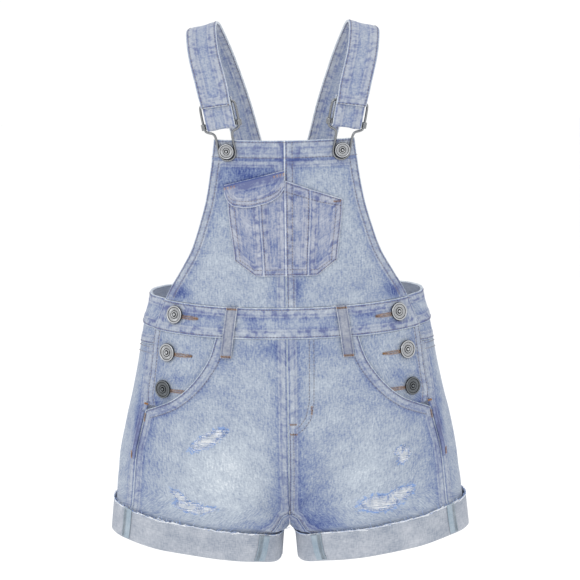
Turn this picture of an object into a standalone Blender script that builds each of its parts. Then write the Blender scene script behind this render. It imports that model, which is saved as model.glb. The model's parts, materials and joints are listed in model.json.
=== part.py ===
"""Child's short denim overalls, filled out as if worn, with no wearer.

Metres, +Z up. The front faces -Y and +X is the viewer's right. The origin is midway
between the two straps where the shoulders carry them. A place on the cloth is a turn
and a level: turn 0 is the centre front, 0.5 the side and 1 the centre back, and the
level is the height before the hem slopes down towards the inner leg.
"""
import bisect
import math

import bmesh
import bpy
from mathutils import Matrix, Vector

# Cloth and seams
DENIM = 0.0014
BAND = 0.0024
POCKET_CLOTH = 0.0012
CUFF_WALL = 0.0022
STRAP_WALL = 0.0020
SEAM_GAP = 0.0003
TURN_GAP = 0.0004
LAYER_GAP = 0.0008
MERGE = 0.00001

# Heights
BIB_TOP = -0.1000
WAIST_TOP = -0.2530
WAIST_BOTTOM = -0.2815
TACK = -0.3555
CROSSING = -0.4380
CROTCH = -0.4565
CUFF_TOP = -0.4610
HEM = -0.4900

# Girth of the trunk. Columns: level, half width, front depth, back depth
SECTIONS = (
    (-0.100, 0.1270, 0.0730, 0.0680),
    (-0.180, 0.1240, 0.0690, 0.0630),
    (-0.253, 0.1275, 0.0660, 0.0620),
    (-0.283, 0.1355, 0.0700, 0.0700),
    (-0.315, 0.1415, 0.0730, 0.0780),
    (-0.362, 0.1515, 0.0740, 0.0840),
    (-0.410, 0.1600, 0.0710, 0.0820),
    (-0.459, 0.1670, 0.0640, 0.0740),
    (-0.490, 0.1705, 0.0600, 0.0680),
)
# One leg. Columns: level, inner side from the centre, front depth, back depth
LEG = (
    (-0.400, 0.0000, 0.0640, 0.0780),
    (CROTCH, 0.0000, 0.0560, 0.0700),
    (-0.458, 0.0045, 0.0558, 0.0698),
    (CUFF_TOP, 0.0078, 0.0550, 0.0690),
    (HEM, 0.0105, 0.0480, 0.0580),
)
# The hem hangs lower towards the inner leg. Columns: distance from the centre, drop
HEM_DROP = (
    (0.000, -0.0240),
    (0.010, -0.0220),
    (0.034, -0.0130),
    (0.077, -0.0055),
    (0.119, 0.0020),
    (0.157, 0.0080),
    (0.175, 0.0075),
)
SADDLE_Y = -0.006
NOTCH_TOP = -0.375
NOTCH_REACH = 0.075
FRONT_NOTCH_POWER = 1.65
BACK_NOTCH_POWER = 2.0
SIDE_FULLNESS = 0.10
LEGS_START = -0.385
LEGS_SPAN = 0.105
SLOPE_START = -0.395
SLOPE_SPAN = 0.062
WAIST_LIFT = 0.004
LIFT_START = -0.330
LIFT_SPAN = 0.075
MEAN_HALF_GIRTH = 0.42

# Soft creases of the cloth. Columns: turn, level, lean from upright in degrees,
# half length, half width, rise (a trough is below zero). Both legs have them.
CREASES = (
    (0.030, -0.418, 28, 0.028, 0.0070, 0.0022),
    (0.062, -0.430, 40, 0.030, 0.0080, -0.0020),
    (0.105, -0.436, 52, 0.034, 0.0100, 0.0016),
    (0.200, -0.405, 12, 0.040, 0.0220, 0.0018),
    (0.300, -0.430, -8, 0.036, 0.0180, -0.0016),
    (0.440, -0.385, -6, 0.045, 0.0160, -0.0020),
    (0.520, -0.400, 6, 0.050, 0.0180, 0.0024),
    (0.600, -0.430, 10, 0.040, 0.0180, -0.0020),
    (0.760, -0.425, -20, 0.040, 0.0160, 0.0024),
    (0.860, -0.418, -34, 0.036, 0.0120, -0.0026),
    (0.930, -0.412, -42, 0.030, 0.0100, 0.0026),
)

# Seam lines on the body. Columns: level, turn
SIDE_SEAM = ((-0.281, 0.3560), (-0.355, 0.3460), (-0.400, 0.3640), (-0.458, 0.3860), (HEM, 0.3960))
INSEAM = ((CROSSING, 0.0), (-0.4565, 0.080), (CUFF_TOP, 0.092), (HEM, 0.118))
SCOOP = (
    (-0.2815, 0.1600),
    (-0.2980, 0.1700),
    (-0.3135, 0.1900),
    (-0.3305, 0.2230),
    (-0.3420, 0.2590),
    (-0.3500, 0.3050),
    (TACK, 0.3455),
)
OPENING_STEP = 0.0140
# Bottom of the back yoke. Columns: turn, level
YOKE = ((0.360, -0.2955), (0.455, -0.2980), (0.700, -0.3120), (1.000, -0.3300))

# Half width of the bibs. Columns: level, half width
FRONT_BIB = (
    (BIB_TOP, 0.0625),
    (-0.1300, 0.0665),
    (-0.1570, 0.0715),
    (-0.1790, 0.0777),
    (-0.2030, 0.0858),
    (-0.2270, 0.0984),
    (-0.2395, 0.1054),
    (WAIST_TOP, 0.1120),
)
BACK_BIB_TOP = -0.1650
BACK_BIB = (
    (BACK_BIB_TOP, 0.0320),
    (-0.1850, 0.0390),
    (-0.2050, 0.0520),
    (-0.2250, 0.0720),
    (-0.2400, 0.0920),
    (WAIST_TOP, 0.1080),
)

# Straps and their wire buckles
STRAP_WIDTH = 0.0275
SHOULDER_SLOPE = math.radians(14)
SHOULDER_REACH = 0.034
BACK_STRAP_TURN = math.radians(4.5)
FRONT_STRAP_TURN = math.radians(13)
WIRE = 0.0011
BUTTON_X = 0.0506
BUTTON_LEVEL = -0.1095
BUCKLE_TOP = Vector((0.0588, -0.0715, -0.0665))
RING_HALF = 0.0074
RING_DROP = 0.0090
FRAME_HALF = 0.0164
SLIDER_HEIGHT = 0.0238

DENIM_BLUE = "8FA3C8"
BAND_BLUE = "9DAECD"
CUFF_BLUE = "AEB9CC"
STRAP_BLUE = "93A5C8"
ANTIQUE_SILVER = "8A8C90"
GUNMETAL = "55585E"


def smooth(x):
    """Ease from 0 to 1."""
    x = min(max(x, 0.0), 1.0)
    return x * x * (3 - 2 * x)


def along(table, column, x):
    """Smooth curve through one column of a table, read by the table's first column."""
    rows = sorted(table)
    xs = [row[0] for row in rows]
    ys = [row[column] for row in rows]
    x = min(max(x, xs[0]), xs[-1])
    k = min(bisect.bisect_right(xs, x), len(xs) - 1) - 1
    pace = [(ys[i + 1] - ys[i]) / (xs[i + 1] - xs[i]) for i in range(len(xs) - 1)]

    def slope(i):
        if i == 0 or i == len(xs) - 1:
            return pace[min(i, len(pace) - 1)]
        before, after = pace[i - 1], pace[i]
        return 0.0 if before * after <= 0 else 2 * before * after / (before + after)

    step = xs[k + 1] - xs[k]
    u = (x - xs[k]) / step
    start = (1 + 2 * u) * (1 - u) ** 2 * ys[k] + u * (1 - u) ** 2 * step * slope(k)
    end = u * u * (3 - 2 * u) * ys[k + 1] + u * u * (u - 1) * step * slope(k + 1)
    return start + end


def bare_body(turn, level):
    """The right half of the trunk, which parts into a leg at the crotch."""
    half_width = along(SECTIONS, 1, level)
    front = turn < 0.5
    depth = along(SECTIONS, 2 if front else 3, level)
    angle = math.pi * turn
    trunk_x = half_width * math.sin(angle)
    trunk_y = -depth * math.cos(angle) * (1 + SIDE_FULLNESS * math.sin(angle) ** 2)
    inner = along(LEG, 1, level)
    leg_depth = along(LEG, 2 if front else 3, level)
    middle = (half_width + inner) / 2
    radius = (half_width - inner) / 2
    leg_x = middle - radius * math.cos(2 * angle)
    leg_y = -leg_depth * math.sin(2 * angle) * (1 + SIDE_FULLNESS * math.sin(4 * angle) ** 2)
    leg_y += SADDLE_Y * (1 + math.cos(2 * angle)) / 2
    rise = min(max((level - CROTCH) / (NOTCH_TOP - CROTCH), 0.0), 1.0)
    power = FRONT_NOTCH_POWER if front else BACK_NOTCH_POWER
    at_centre = 1 - (1 - (1 - rise) ** power) ** (1 / power)
    at_leg = smooth((LEGS_START - level) / LEGS_SPAN)
    near = math.exp(-(min(turn, 1 - turn) / NOTCH_REACH) ** 2)
    blend = at_leg + (at_centre - at_leg) * near
    x = (1 - blend) * trunk_x + blend * leg_x
    y = (1 - blend) * trunk_y + blend * leg_y
    drop = smooth((SLOPE_START - level) / SLOPE_SPAN) * along(HEM_DROP, 1, x)
    lift = smooth((level - LIFT_START) / LIFT_SPAN) * WAIST_LIFT * (x / half_width) ** 2
    return Vector((x, y, level + drop + lift))


def crease(turn, level):
    """How far the soft creases push the cloth out at a place."""
    push = 0.0
    for place, height, lean, length, width, rise in CREASES:
        across = (turn - place) * MEAN_HALF_GIRTH
        up = level - height
        angle = math.radians(lean)
        off = across * math.cos(angle) - up * math.sin(angle)
        run = across * math.sin(angle) + up * math.cos(angle)
        push += rise * math.exp(-(off / width) ** 2 - (run / length) ** 2)
    return push * smooth((-level - 0.340) / 0.030) * smooth((level - CUFF_TOP) / 0.020)


def body_normal(turn, level):
    """Outward direction of the cloth on the right half."""
    step = 0.0002
    girth = bare_body(min(turn + step, 1), level) - bare_body(max(turn - step, 0), level)
    rise = bare_body(turn, level + step) - bare_body(turn, level - step)
    return girth.cross(rise).normalized()


def body(side, turn, level, out=0.0):
    """A point of the cloth on one side (1 is the viewer's right), moved out."""
    point = bare_body(turn, level) + body_normal(turn, level) * (out + crease(turn, level))
    return Vector((side * point.x, point.y, point.z))


def turn_at(x, level):
    """The turn that lies a distance from the centre front, above the legs."""
    return math.asin(min(abs(x) / along(SECTIONS, 1, level), 1.0)) / math.pi


def front(x, level, out=0.0):
    """A point across the front, by its distance from the centre."""
    return body(-1 if x < 0 else 1, turn_at(x, level), level, out)


def back(x, level, out=0.0):
    """A point across the back, by its distance from the centre."""
    return body(-1 if x < 0 else 1, 1 - turn_at(x, level), level, out)


def clear_of_centre(point, side):
    """Keep half the seam's gap from the centre."""
    point.x = side * max(side * point.x, SEAM_GAP / 2)
    return point


def mixed(low, high, part):
    return low + (high - low) * part


def collection(name):
    made = bpy.data.collections.new(name)
    bpy.context.scene.collection.children.link(made)
    return made


def painted(obj, colour, roughness=0.85, metallic=0.0):
    """Give the object its own material."""
    material = bpy.data.materials.new(obj.name)
    material.use_nodes = True
    shader = material.node_tree.nodes["Principled BSDF"]
    parts = [int(colour[k:k + 2], 16) / 255 for k in (0, 2, 4)]
    linear = [c / 12.92 if c <= 0.04045 else ((c + 0.055) / 1.055) ** 2.4 for c in parts]
    shader.inputs["Base Color"].default_value = (*linear, 1)
    shader.inputs["Roughness"].default_value = roughness
    shader.inputs["Metallic"].default_value = metallic
    obj.data.materials.append(material)
    return obj


def added(name, mesh):
    obj = bpy.data.objects.new(name, mesh)
    overalls.objects.link(obj)
    return obj


def sheet(name, grids, wall, colour):
    """A cloth piece from grids, each a place function with its faces across and up.

    A place takes how far across (left to right) and how far up, both from 0 to 1, and
    gives a point of the outer face. Grids that share an edge are joined there.
    """
    made = bmesh.new()
    for place, across, up in grids:
        grid = bmesh.ops.create_grid(made, x_segments=across, y_segments=up, size=0.5)
        for vert in grid["verts"]:
            vert.co = place(vert.co.x + 0.5, vert.co.y + 0.5)
    bmesh.ops.remove_doubles(made, verts=made.verts, dist=MERGE)
    mesh = bpy.data.meshes.new(name)
    made.to_mesh(mesh)
    made.free()
    mesh.shade_smooth()
    obj = added(name, mesh)
    solidify = obj.modifiers.new("wall", "SOLIDIFY")
    solidify.thickness = wall
    solidify.offset = -1
    return painted(obj, colour)


def rung(levels, up):
    """The level of a row, from a list that runs from the top down."""
    return levels[round((1 - up) * (len(levels) - 1))]


def narrow_ends(across, count):
    """Make the first and last of the columns narrow, so that walls meet squarely."""
    k = round(across * count)
    return min(max((k - 0.75) / (count - 1.5), 0.0), 1.0)


def from_side(side, across):
    """Run a left piece's columns from its outer edge, so that its face points out."""
    return across if side > 0 else 1 - across


# Rows of the leg panels, closer together at the pocket mouth and at the crotch
FRONT_LEVELS = (
    WAIST_BOTTOM - SEAM_GAP, -0.298, -0.3135, -0.324, -0.333, -0.342, -0.350, TACK,
    -0.368, -0.384, -0.400, -0.415, -0.428, CROSSING, -0.448, CROTCH, -0.458, CUFF_TOP,
    -0.474, HEM + SEAM_GAP,
)
BACK_LEVELS = (
    -0.330, -0.336, -0.341, -0.346, -0.350, TACK, -0.368, -0.384, -0.400, -0.415, -0.428,
    CROSSING, -0.448, CROTCH, -0.458, CUFF_TOP, -0.474, HEM + SEAM_GAP,
)
GUSSET_TIP = -0.4405
GUSSET_LEVELS = (GUSSET_TIP,) + BACK_LEVELS[BACK_LEVELS.index(CROSSING) + 1:]
FRONT_COLUMNS = 12
BACK_COLUMNS = 18
GUSSET_COLUMNS = 4


def inseam(level):
    """Where the inseam runs. Above the crossing it is the centre seam."""
    return along(INSEAM, 1, level) if level < CROSSING else 0.0


def front_panel(side, name):
    """Front of a leg, from the centre seam to the scooped pocket mouth and side seam."""
    def place(across, up):
        level = rung(FRONT_LEVELS, up)
        start = inseam(level) + (5 * TURN_GAP if level < CROSSING else 0)
        end = along(SCOOP, 1, level) if level >= TACK else along(SIDE_SEAM, 1, level) - TURN_GAP
        turn = mixed(start, end, narrow_ends(from_side(side, across), FRONT_COLUMNS))
        return clear_of_centre(body(side, turn, level), side)
    return sheet(name, [(place, FRONT_COLUMNS, len(FRONT_LEVELS) - 1)], DENIM, DENIM_BLUE)


# How far from an edge a covered piece stays down, and over what it comes up again
UNDER_SCOOP = 0.012
OUT_OF_SCOOP = 0.075
OUT_OF_OPENING = 0.055
TACK_ROUND = 0.004
TACK_EASE = 0.012
STEP_EASE = 0.020


def tucked(turn, level):
    """How far the hip piece lies below the front, which covers it at the pocket mouth."""
    from_edge = turn - along(SCOOP, 1, level)
    return -(DENIM + LAYER_GAP) * (1 - smooth((from_edge - UNDER_SCOOP) / OUT_OF_SCOOP))


def opening(level):
    """Front edge of the back panel, which steps back at the buttoned side opening."""
    step = OPENING_STEP * smooth((level - TACK) / STEP_EASE)
    return along(SIDE_SEAM, 1, level) + TURN_GAP + step


def back_tuck(turn, level):
    """How far the back's front edge lies below the hip piece that buttons over it."""
    near = 1 - smooth((turn - opening(level)) / OUT_OF_OPENING)
    return -(DENIM + LAYER_GAP) * near * smooth((level - TACK + TACK_ROUND) / TACK_EASE)


HIP_FOOT = TACK + 0.0050
HIP_UNDER_FRONT = 0.024
HIP_EDGE_AT_FOOT = -0.003
HIP_EDGE_RISE = 0.009


def hip_piece(side, name):
    """Piece inside the pocket mouth. It carries the two lower buttonholes."""
    def place(across, up):
        level = mixed(HIP_FOOT, WAIST_BOTTOM - SEAM_GAP, up)
        start = along(SCOOP, 1, level) - HIP_UNDER_FRONT
        over = HIP_EDGE_AT_FOOT + HIP_EDGE_RISE * smooth((level - TACK) / STEP_EASE)
        end = along(SIDE_SEAM, 1, level) + over
        turn = mixed(start, end, from_side(side, across))
        return body(side, turn, level, tucked(turn, level))
    return sheet(name, [(place, 8, 8)], DENIM, DENIM_BLUE)


PLACKET_COLUMNS = 6
UNDERLAP_START = 0.262


def side_placket(side, name):
    """Underlap of the side opening, to which the buttons are fixed."""
    def place(across, up):
        level = mixed(HIP_FOOT, WAIST_BOTTOM - SEAM_GAP, up)
        part = narrow_ends(from_side(side, across), PLACKET_COLUMNS)
        turn = mixed(UNDERLAP_START, opening(level) - 3 * TURN_GAP, part)
        return body(side, turn, level, tucked(turn, level) - DENIM - LAYER_GAP)
    return sheet(name, [(place, PLACKET_COLUMNS, 6)], DENIM, DENIM_BLUE)


WELT_FOOT = -0.4050
WELT_TOP = TACK - 0.0020
WELT_START = 0.002
WELT_END = 0.018


def side_welt(side, name):
    """Narrow folded edge behind the side seam, below the opening."""
    def place(across, up):
        level = mixed(WELT_FOOT, WELT_TOP, up)
        turn = opening(level) + mixed(WELT_START, WELT_END, from_side(side, across))
        return body(side, turn, level, DENIM + SEAM_GAP)
    return sheet(name, [(place, 2, 6)], DENIM, DENIM_BLUE)


def back_yoke(side, name):
    """Shaped strip between the back waistband and the back of a leg."""
    def place(across, up):
        start = opening(WAIST_BOTTOM)
        turn = mixed(start, 1, from_side(side, across))
        level = mixed(along(YOKE, 1, turn), WAIST_BOTTOM - SEAM_GAP, up)
        point = body(side, turn, level, back_tuck(turn, level))
        return clear_of_centre(point, side)
    return sheet(name, [(place, 14, 3)], DENIM, DENIM_BLUE)


YOKE_FADE_START = -0.352
YOKE_FADE_SPAN = 0.022


def back_panel(side, name):
    """Back of a leg. Its inner edge passes under the crotch and up to the crossing."""
    def below_yoke(level, turn):
        """Move the upper rows up to the yoke's slanted seam."""
        rise = along(YOKE, 1, turn) - SEAM_GAP - BACK_LEVELS[0]
        return level + rise * smooth((level - YOKE_FADE_START) / YOKE_FADE_SPAN)

    def seat(across, up):
        row = rung(BACK_LEVELS, up)
        start = opening(below_yoke(row, YOKE[0][0]))
        turn = mixed(start, 1, narrow_ends(from_side(side, across), BACK_COLUMNS))
        level = below_yoke(row, turn)
        return clear_of_centre(body(side, turn, level, back_tuck(turn, level)), side)

    def gusset(across, up):
        level = rung(GUSSET_LEVELS, up)
        part = narrow_ends(from_side(side, across), GUSSET_COLUMNS)
        turn = mixed(0, max(inseam(level) - TURN_GAP, 0), part)
        return clear_of_centre(body(side, turn, level), side)

    grids = [
        (seat, BACK_COLUMNS, len(BACK_LEVELS) - 1),
        (gusset, GUSSET_COLUMNS, len(GUSSET_LEVELS) - 1),
    ]
    return sheet(name, grids, DENIM, DENIM_BLUE)


# Where the waistbands end and cross, as turns
FRONT_BAND_FOOT = 0.3625
FRONT_BAND_TOP = 0.3415
BAND_UNCOVERED = 0.368
BAND_EASE = 0.070
FRONT_BAND_OUT = 0.0009


def front_waistband():
    """Front of the waistband, which buttons over the back at both sides."""
    def place(across, up):
        end = mixed(FRONT_BAND_FOOT, FRONT_BAND_TOP, up)
        turn = mixed(-end, end, across)
        level = mixed(WAIST_BOTTOM, WAIST_TOP - SEAM_GAP, up)
        return body(-1 if turn < 0 else 1, abs(turn), level, FRONT_BAND_OUT)
    return sheet("waistband_front", [(place, 26, 2)], BAND, BAND_BLUE)


def back_waistband():
    """Back of the waistband, whose ends pass under the front's."""
    covered = FRONT_BAND_OUT - BAND - LAYER_GAP

    def place(across, up):
        turn = mixed(1, UNDERLAP_START, abs(2 * across - 1))
        level = mixed(WAIST_BOTTOM, WAIST_TOP - SEAM_GAP, up)
        out = mixed(covered, FRONT_BAND_OUT, smooth((turn - BAND_UNCOVERED) / BAND_EASE))
        return body(1 if across < 0.5 else -1, turn, level, out)
    return sheet("waistband_back", [(place, 40, 2)], BAND, BAND_BLUE)


def front_bib(side, name):
    """Half of the bib, from its centre seam to the armhole edge."""
    def place(across, up):
        level = mixed(WAIST_TOP, BIB_TOP, up)
        x = along(FRONT_BIB, 1, level) * from_side(side, across)
        return clear_of_centre(body(side, turn_at(x, level), level), side)
    return sheet(name, [(place, 6, 12)], DENIM, DENIM_BLUE)


def back_bib():
    """Back bib, narrow at the top where the straps are sewn on."""
    def place(across, up):
        level = mixed(WAIST_TOP, BACK_BIB_TOP, up)
        return back(along(BACK_BIB, 1, level) * (1 - 2 * across), level)
    return sheet("back_bib", [(place, 12, 8)], DENIM, DENIM_BLUE)


POCKET_OUT = 0.0015
POCKET_TOP_HALF = 0.0512
POCKET_FOOT_HALF = 0.0455
POCKET_PEAK = -0.1356
POCKET_SHOULDER = -0.1545
POCKET_CORNER = -0.2095
POCKET_FOOT = -0.2235
POCKET_CUT = 0.62
PLEAT = 0.44
PLEAT_WIDTH = 0.10
PLEAT_RISE = 0.0006


def chest_pocket():
    """Patch pocket on the bib, peaked at the top and cut off at its lower corners."""
    def place(across, up):
        u = 2 * across - 1
        top = mixed(POCKET_PEAK, POCKET_SHOULDER, abs(u))
        foot = mixed(POCKET_FOOT, POCKET_CORNER, max(abs(u) - POCKET_CUT, 0) / (1 - POCKET_CUT))
        level = mixed(foot, top, up)
        narrow = smooth((level - POCKET_FOOT) / (POCKET_SHOULDER - POCKET_FOOT))
        x = u * mixed(POCKET_FOOT_HALF, POCKET_TOP_HALF, narrow)
        pleat = PLEAT_RISE * math.exp(-((abs(u) - PLEAT) / PLEAT_WIDTH) ** 2)
        return front(x, level, POCKET_OUT + pleat)
    return sheet("chest_pocket", [(place, 16, 6)], POCKET_CLOTH, DENIM_BLUE)


# Lower edge of the flap. Columns: distance from the centre, level
FLAP_EDGE = (
    (0.0004, -0.1430),
    (0.0061, -0.1503),
    (0.0172, -0.1563),
    (0.0355, -0.1603),
    (0.0450, -0.1594),
    (0.0512, -0.1545),
    (0.0538, -0.1475),
)
FLAP_INNER = 0.0004
FLAP_OUTER = 0.0538
FLAP_TOP_INNER = -0.1262
FLAP_TOP_OUTER = -0.1405
FLAP_OUT = 0.0035
FLAP_TOP_OUT = 0.0018
FLAP_FOLD_START = 0.011
FLAP_FOLD = 0.009


def pocket_flap():
    """Flap over the left half of the pocket, sewn to the bib along its sloping top."""
    def place(across, up):
        x = -mixed(FLAP_OUTER, FLAP_INNER, across)
        top = mixed(FLAP_TOP_INNER, FLAP_TOP_OUTER, abs(x) / FLAP_OUTER)
        level = mixed(along(FLAP_EDGE, 1, abs(x)), top, up)
        out = mixed(FLAP_OUT, FLAP_TOP_OUT, smooth((level - top + FLAP_FOLD_START) / FLAP_FOLD))
        return front(x, level, out)
    return sheet("pocket_flap", [(place, 12, 5)], DENIM, DENIM_BLUE)


LOOP_HALF = 0.0050
LOOP_WALL = 0.0016
LOOP_TOP_X = 0.0490
LOOP_LEAN = 0.0068
LOOP_ABOVE_BAND = 0.0004
# Run of a belt loop. Columns: distance down it, how far its face stands off the body
LOOP_RUN = ((0.000, 0.0030), (0.006, 0.0034), (0.022, 0.0040), (0.031, 0.0033), (0.047, 0.0020))


def belt_loop(side, name):
    """Strip over the waistband, tacked at both ends."""
    def place(across, up):
        down = LOOP_RUN[-1][0] * (1 - up)
        centre = LOOP_TOP_X + LOOP_LEAN * (1 - up)
        x = side * centre + LOOP_HALF * (2 * across - 1)
        level = WAIST_TOP + LOOP_ABOVE_BAND - down
        return front(x, level, along(LOOP_RUN, 1, down))
    return sheet(name, [(place, 2, 9)], LOOP_WALL, BAND_BLUE)


CUFF_LEVELS = (CUFF_TOP, -0.474, HEM)


def cuff(side, name):
    """Turn-up round the hem of a leg, inside of the cloth outwards."""
    def place(across, up):
        turn = from_side(side, across) % 1
        return body(side, turn, rung(CUFF_LEVELS, up), CUFF_WALL + 2 * SEAM_GAP)
    return sheet(name, [(place, 36, len(CUFF_LEVELS) - 1)], CUFF_WALL, CUFF_BLUE)


RING_OUT = 0.0016


def buckle_frame_axes(side):
    """The buckle's ring centre, and its across, up and outward directions."""
    ring = front(side * BUTTON_X, BUTTON_LEVEL, RING_OUT)
    top = Vector((side * BUCKLE_TOP.x, BUCKLE_TOP.y, BUCKLE_TOP.z))
    up = (top - ring).normalized()
    normal = body_normal(turn_at(BUTTON_X, BUTTON_LEVEL), BUTTON_LEVEL)
    across = up.cross(Vector((side * normal.x, normal.y, normal.z))).normalized()
    return ring, across, up, across.cross(up)


def in_buckle(side, across, height, out=0.0):
    ring, right, up, outward = buckle_frame_axes(side)
    return ring + right * across + up * height + outward * out


# Right half of the wire above the ring. Columns: distance across, height
FRAME_OUTLINE = (
    (RING_HALF, 0.0080),
    (0.0077, 0.0145),
    (0.0094, 0.0170),
    (0.0136, 0.0183),
    (FRAME_HALF, 0.0204),
    (FRAME_HALF, 0.0400),
    (0.0152, 0.0428),
    (0.0124, 0.0437),
    (0.0, 0.0437),
)
RING_STEPS = 4


def wire_frame(side, name):
    """Bent wire: a wide frame for the strap, and a narrow ring round the button."""
    half = []
    for k in range(RING_STEPS + 1):
        angle = math.pi / 2 * k / RING_STEPS
        height = RING_HALF - RING_DROP - RING_HALF * math.cos(angle)
        half.append((RING_HALF * math.sin(angle), height))
    half += FRAME_OUTLINE
    outline = half + [(-x, height) for x, height in reversed(half[1:-1])]
    curve = bpy.data.curves.new(name, "CURVE")
    curve.dimensions = "3D"
    curve.bevel_depth = WIRE
    curve.bevel_resolution = 2
    spline = curve.splines.new("POLY")
    spline.points.add(len(outline) - 1)
    for point, (x, height) in zip(spline.points, outline):
        point.co = (*in_buckle(side, x, height), 1)
    spline.use_cyclic_u = True
    return painted(added(name, curve), ANTIQUE_SILVER, 0.35, 1.0)


SLIDER_WIDTH = 0.0034
SLIDER_THICKNESS = 0.0014
CURL_RADIUS = 0.0024
CURL_LENGTH = 0.0052
CURL_HOLE = WIRE + 0.0004


def slider_bar(side, name):
    """Flat bar across the frame, with its ends curled round the side wires."""
    _, right, up, outward = buckle_frame_axes(side)
    turn = Matrix((right, up, outward)).transposed().to_4x4()
    centre = in_buckle(side, 0, SLIDER_HEIGHT)

    made = bmesh.new()
    size = Matrix.Diagonal((2 * FRAME_HALF, SLIDER_WIDTH, SLIDER_THICKNESS, 1))
    bmesh.ops.create_cube(made, size=1, matrix=size)
    mesh = bpy.data.meshes.new(name)
    made.to_mesh(mesh)
    made.free()
    bar = added(name, mesh)
    bar.matrix_world = Matrix.Translation(centre) @ turn

    curl = (CURL_RADIUS, CURL_LENGTH, "UNION")
    hole = (CURL_HOLE, 2 * CURL_LENGTH, "DIFFERENCE")
    upright = Matrix.Rotation(math.radians(-90), 4, "X")
    for end in (-1, 1):
        at_wire = Matrix.Translation((end * FRAME_HALF, 0, 0))
        for radius, length, operation in (curl, hole):
            made = bmesh.new()
            bmesh.ops.create_cone(made, cap_ends=True, segments=12, radius1=radius,
                                  radius2=radius, depth=length)
            tool_mesh = bpy.data.meshes.new("curl")
            made.to_mesh(tool_mesh)
            made.free()
            tool = bpy.data.objects.new("curl", tool_mesh)
            cutters.objects.link(tool)
            tool.matrix_world = bar.matrix_world @ at_wire @ upright
            tool.hide_render = True
            tool.display_type = "WIRE"
            step = bar.modifiers.new("curl", "BOOLEAN")
            step.operation = operation
            step.object = tool
    return painted(bar, ANTIQUE_SILVER, 0.40, 1.0)


LOOP_LAYER = 0.0015
LOOP_FOLD = SLIDER_HEIGHT - 0.0006
LOOP_TOP = 0.0470
LOOP_RADIUS = 0.0033
LOOP_TOP_RADIUS = 0.0031
LOOP_LEG_STEPS = 4
LOOP_FOLD_STEPS = 3


def strap_loop(side, name):
    """Short loop of strap that passes round the slider bar and up behind the frame."""
    half = STRAP_WIDTH / 2 - SEAM_GAP
    steps = 2 * LOOP_LEG_STEPS + LOOP_FOLD_STEPS

    def place(across, up):
        run = up * steps
        from_end = min(run, steps - run)
        if from_end <= LOOP_LEG_STEPS:
            part = from_end / LOOP_LEG_STEPS
            height = mixed(LOOP_TOP, LOOP_FOLD, part)
            out = mixed(LOOP_TOP_RADIUS, LOOP_RADIUS, part) * (1 if run == from_end else -1)
        else:
            angle = math.pi * (run - LOOP_LEG_STEPS) / LOOP_FOLD_STEPS
            height = LOOP_FOLD - LOOP_RADIUS * math.sin(angle)
            out = LOOP_RADIUS * math.cos(angle)
        return in_buckle(side, half * (1 - 2 * across), height, out)
    return sheet(name, [(place, 2, steps)], LOOP_LAYER, STRAP_BLUE)


# Strap's outer face down its middle, on the viewer's right, from above the buckle
# over the shoulder to just above the back bib. Columns: x, y, z
STRAP_ROUTE = (
    (0.0642, -0.0715, -0.0478),
    (0.0700, -0.0580, -0.0262),
    (0.0729, -0.0370, -0.0099),
    (0.0734, -0.0130, -0.0030),
    (0.0712, 0.0100, -0.0040),
    (0.0662, 0.0290, -0.0162),
    (0.0600, 0.0450, -0.0335),
    (0.0545, 0.0560, -0.0510),
    (0.0486, 0.0635, -0.0702),
    (0.0430, 0.0680, -0.0900),
    (0.0362, 0.0705, -0.1170),
    (0.0275, 0.0695, -0.1450),
)
STRAP_OUT = 0.0060
BACK_STRAP_OUT = STRAP_WALL + 3 * SEAM_GAP
STRAP_START = (0.0410, 0.0520)
SEWN_END = ((0.0205, -0.1680), (0.0168, -0.1920))
FRONT_LIE_END = 0.20
BACK_LIE_START = 0.72
BACK_LIE_SPAN = 0.18
RUN_STEP = 0.004


def curve_through(points, u):
    """A point on the smooth curve through the points, with u from 0 to 1."""
    where = min(max(u, 0.0), 1.0) * (len(points) - 1)
    k = min(int(where), len(points) - 2)
    f = where - k
    p0, p1 = points[max(k - 1, 0)], points[k]
    p2, p3 = points[k + 1], points[min(k + 2, len(points) - 1)]
    start, end = (p2 - p0) / 2, (p3 - p1) / 2
    return (p1 * (1 + 2 * f) * (1 - f) ** 2 + start * f * (1 - f) ** 2
            + p2 * f * f * (3 - 2 * f) + end * f * f * (f - 1))


def strap_points(side):
    """Places down the middle of a strap, from the buckle to its sewn end."""
    lower = [in_buckle(side, 0, height, STRAP_OUT) for height in STRAP_START]
    middle = [Vector((side * x, y, z)) for x, y, z in STRAP_ROUTE]
    sewn = [back(side * x, level, BACK_STRAP_OUT) for x, level in SEWN_END]
    return lower + middle + sewn


def strap(side, name):
    """Strap from above the buckle, over the shoulder, to the back bib."""
    points = strap_points(side)

    def place(across, up):
        here = curve_through(points, up)
        run = curve_through(points, up + RUN_STEP) - curve_through(points, up - RUN_STEP)
        run.normalize()
        width = (Vector((1, 0, 0)) - run * run.x).normalized()
        slope = side * SHOULDER_SLOPE * math.exp(-(here.y / SHOULDER_REACH) ** 2)
        width = Matrix.Rotation(slope, 3, Vector((0, 1, 0))) @ width
        lie = FRONT_STRAP_TURN * (1 - smooth(up / FRONT_LIE_END))
        lie -= BACK_STRAP_TURN * smooth((up - BACK_LIE_START) / BACK_LIE_SPAN)
        width = Matrix.Rotation(side * lie, 3, Vector((0, 0, 1))) @ width
        width = (width - run * width.dot(run)).normalized()
        return here + width * STRAP_WIDTH * (across - 0.5)
    return sheet(name, [(place, 3, 38)], STRAP_WALL, STRAP_BLUE)


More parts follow.
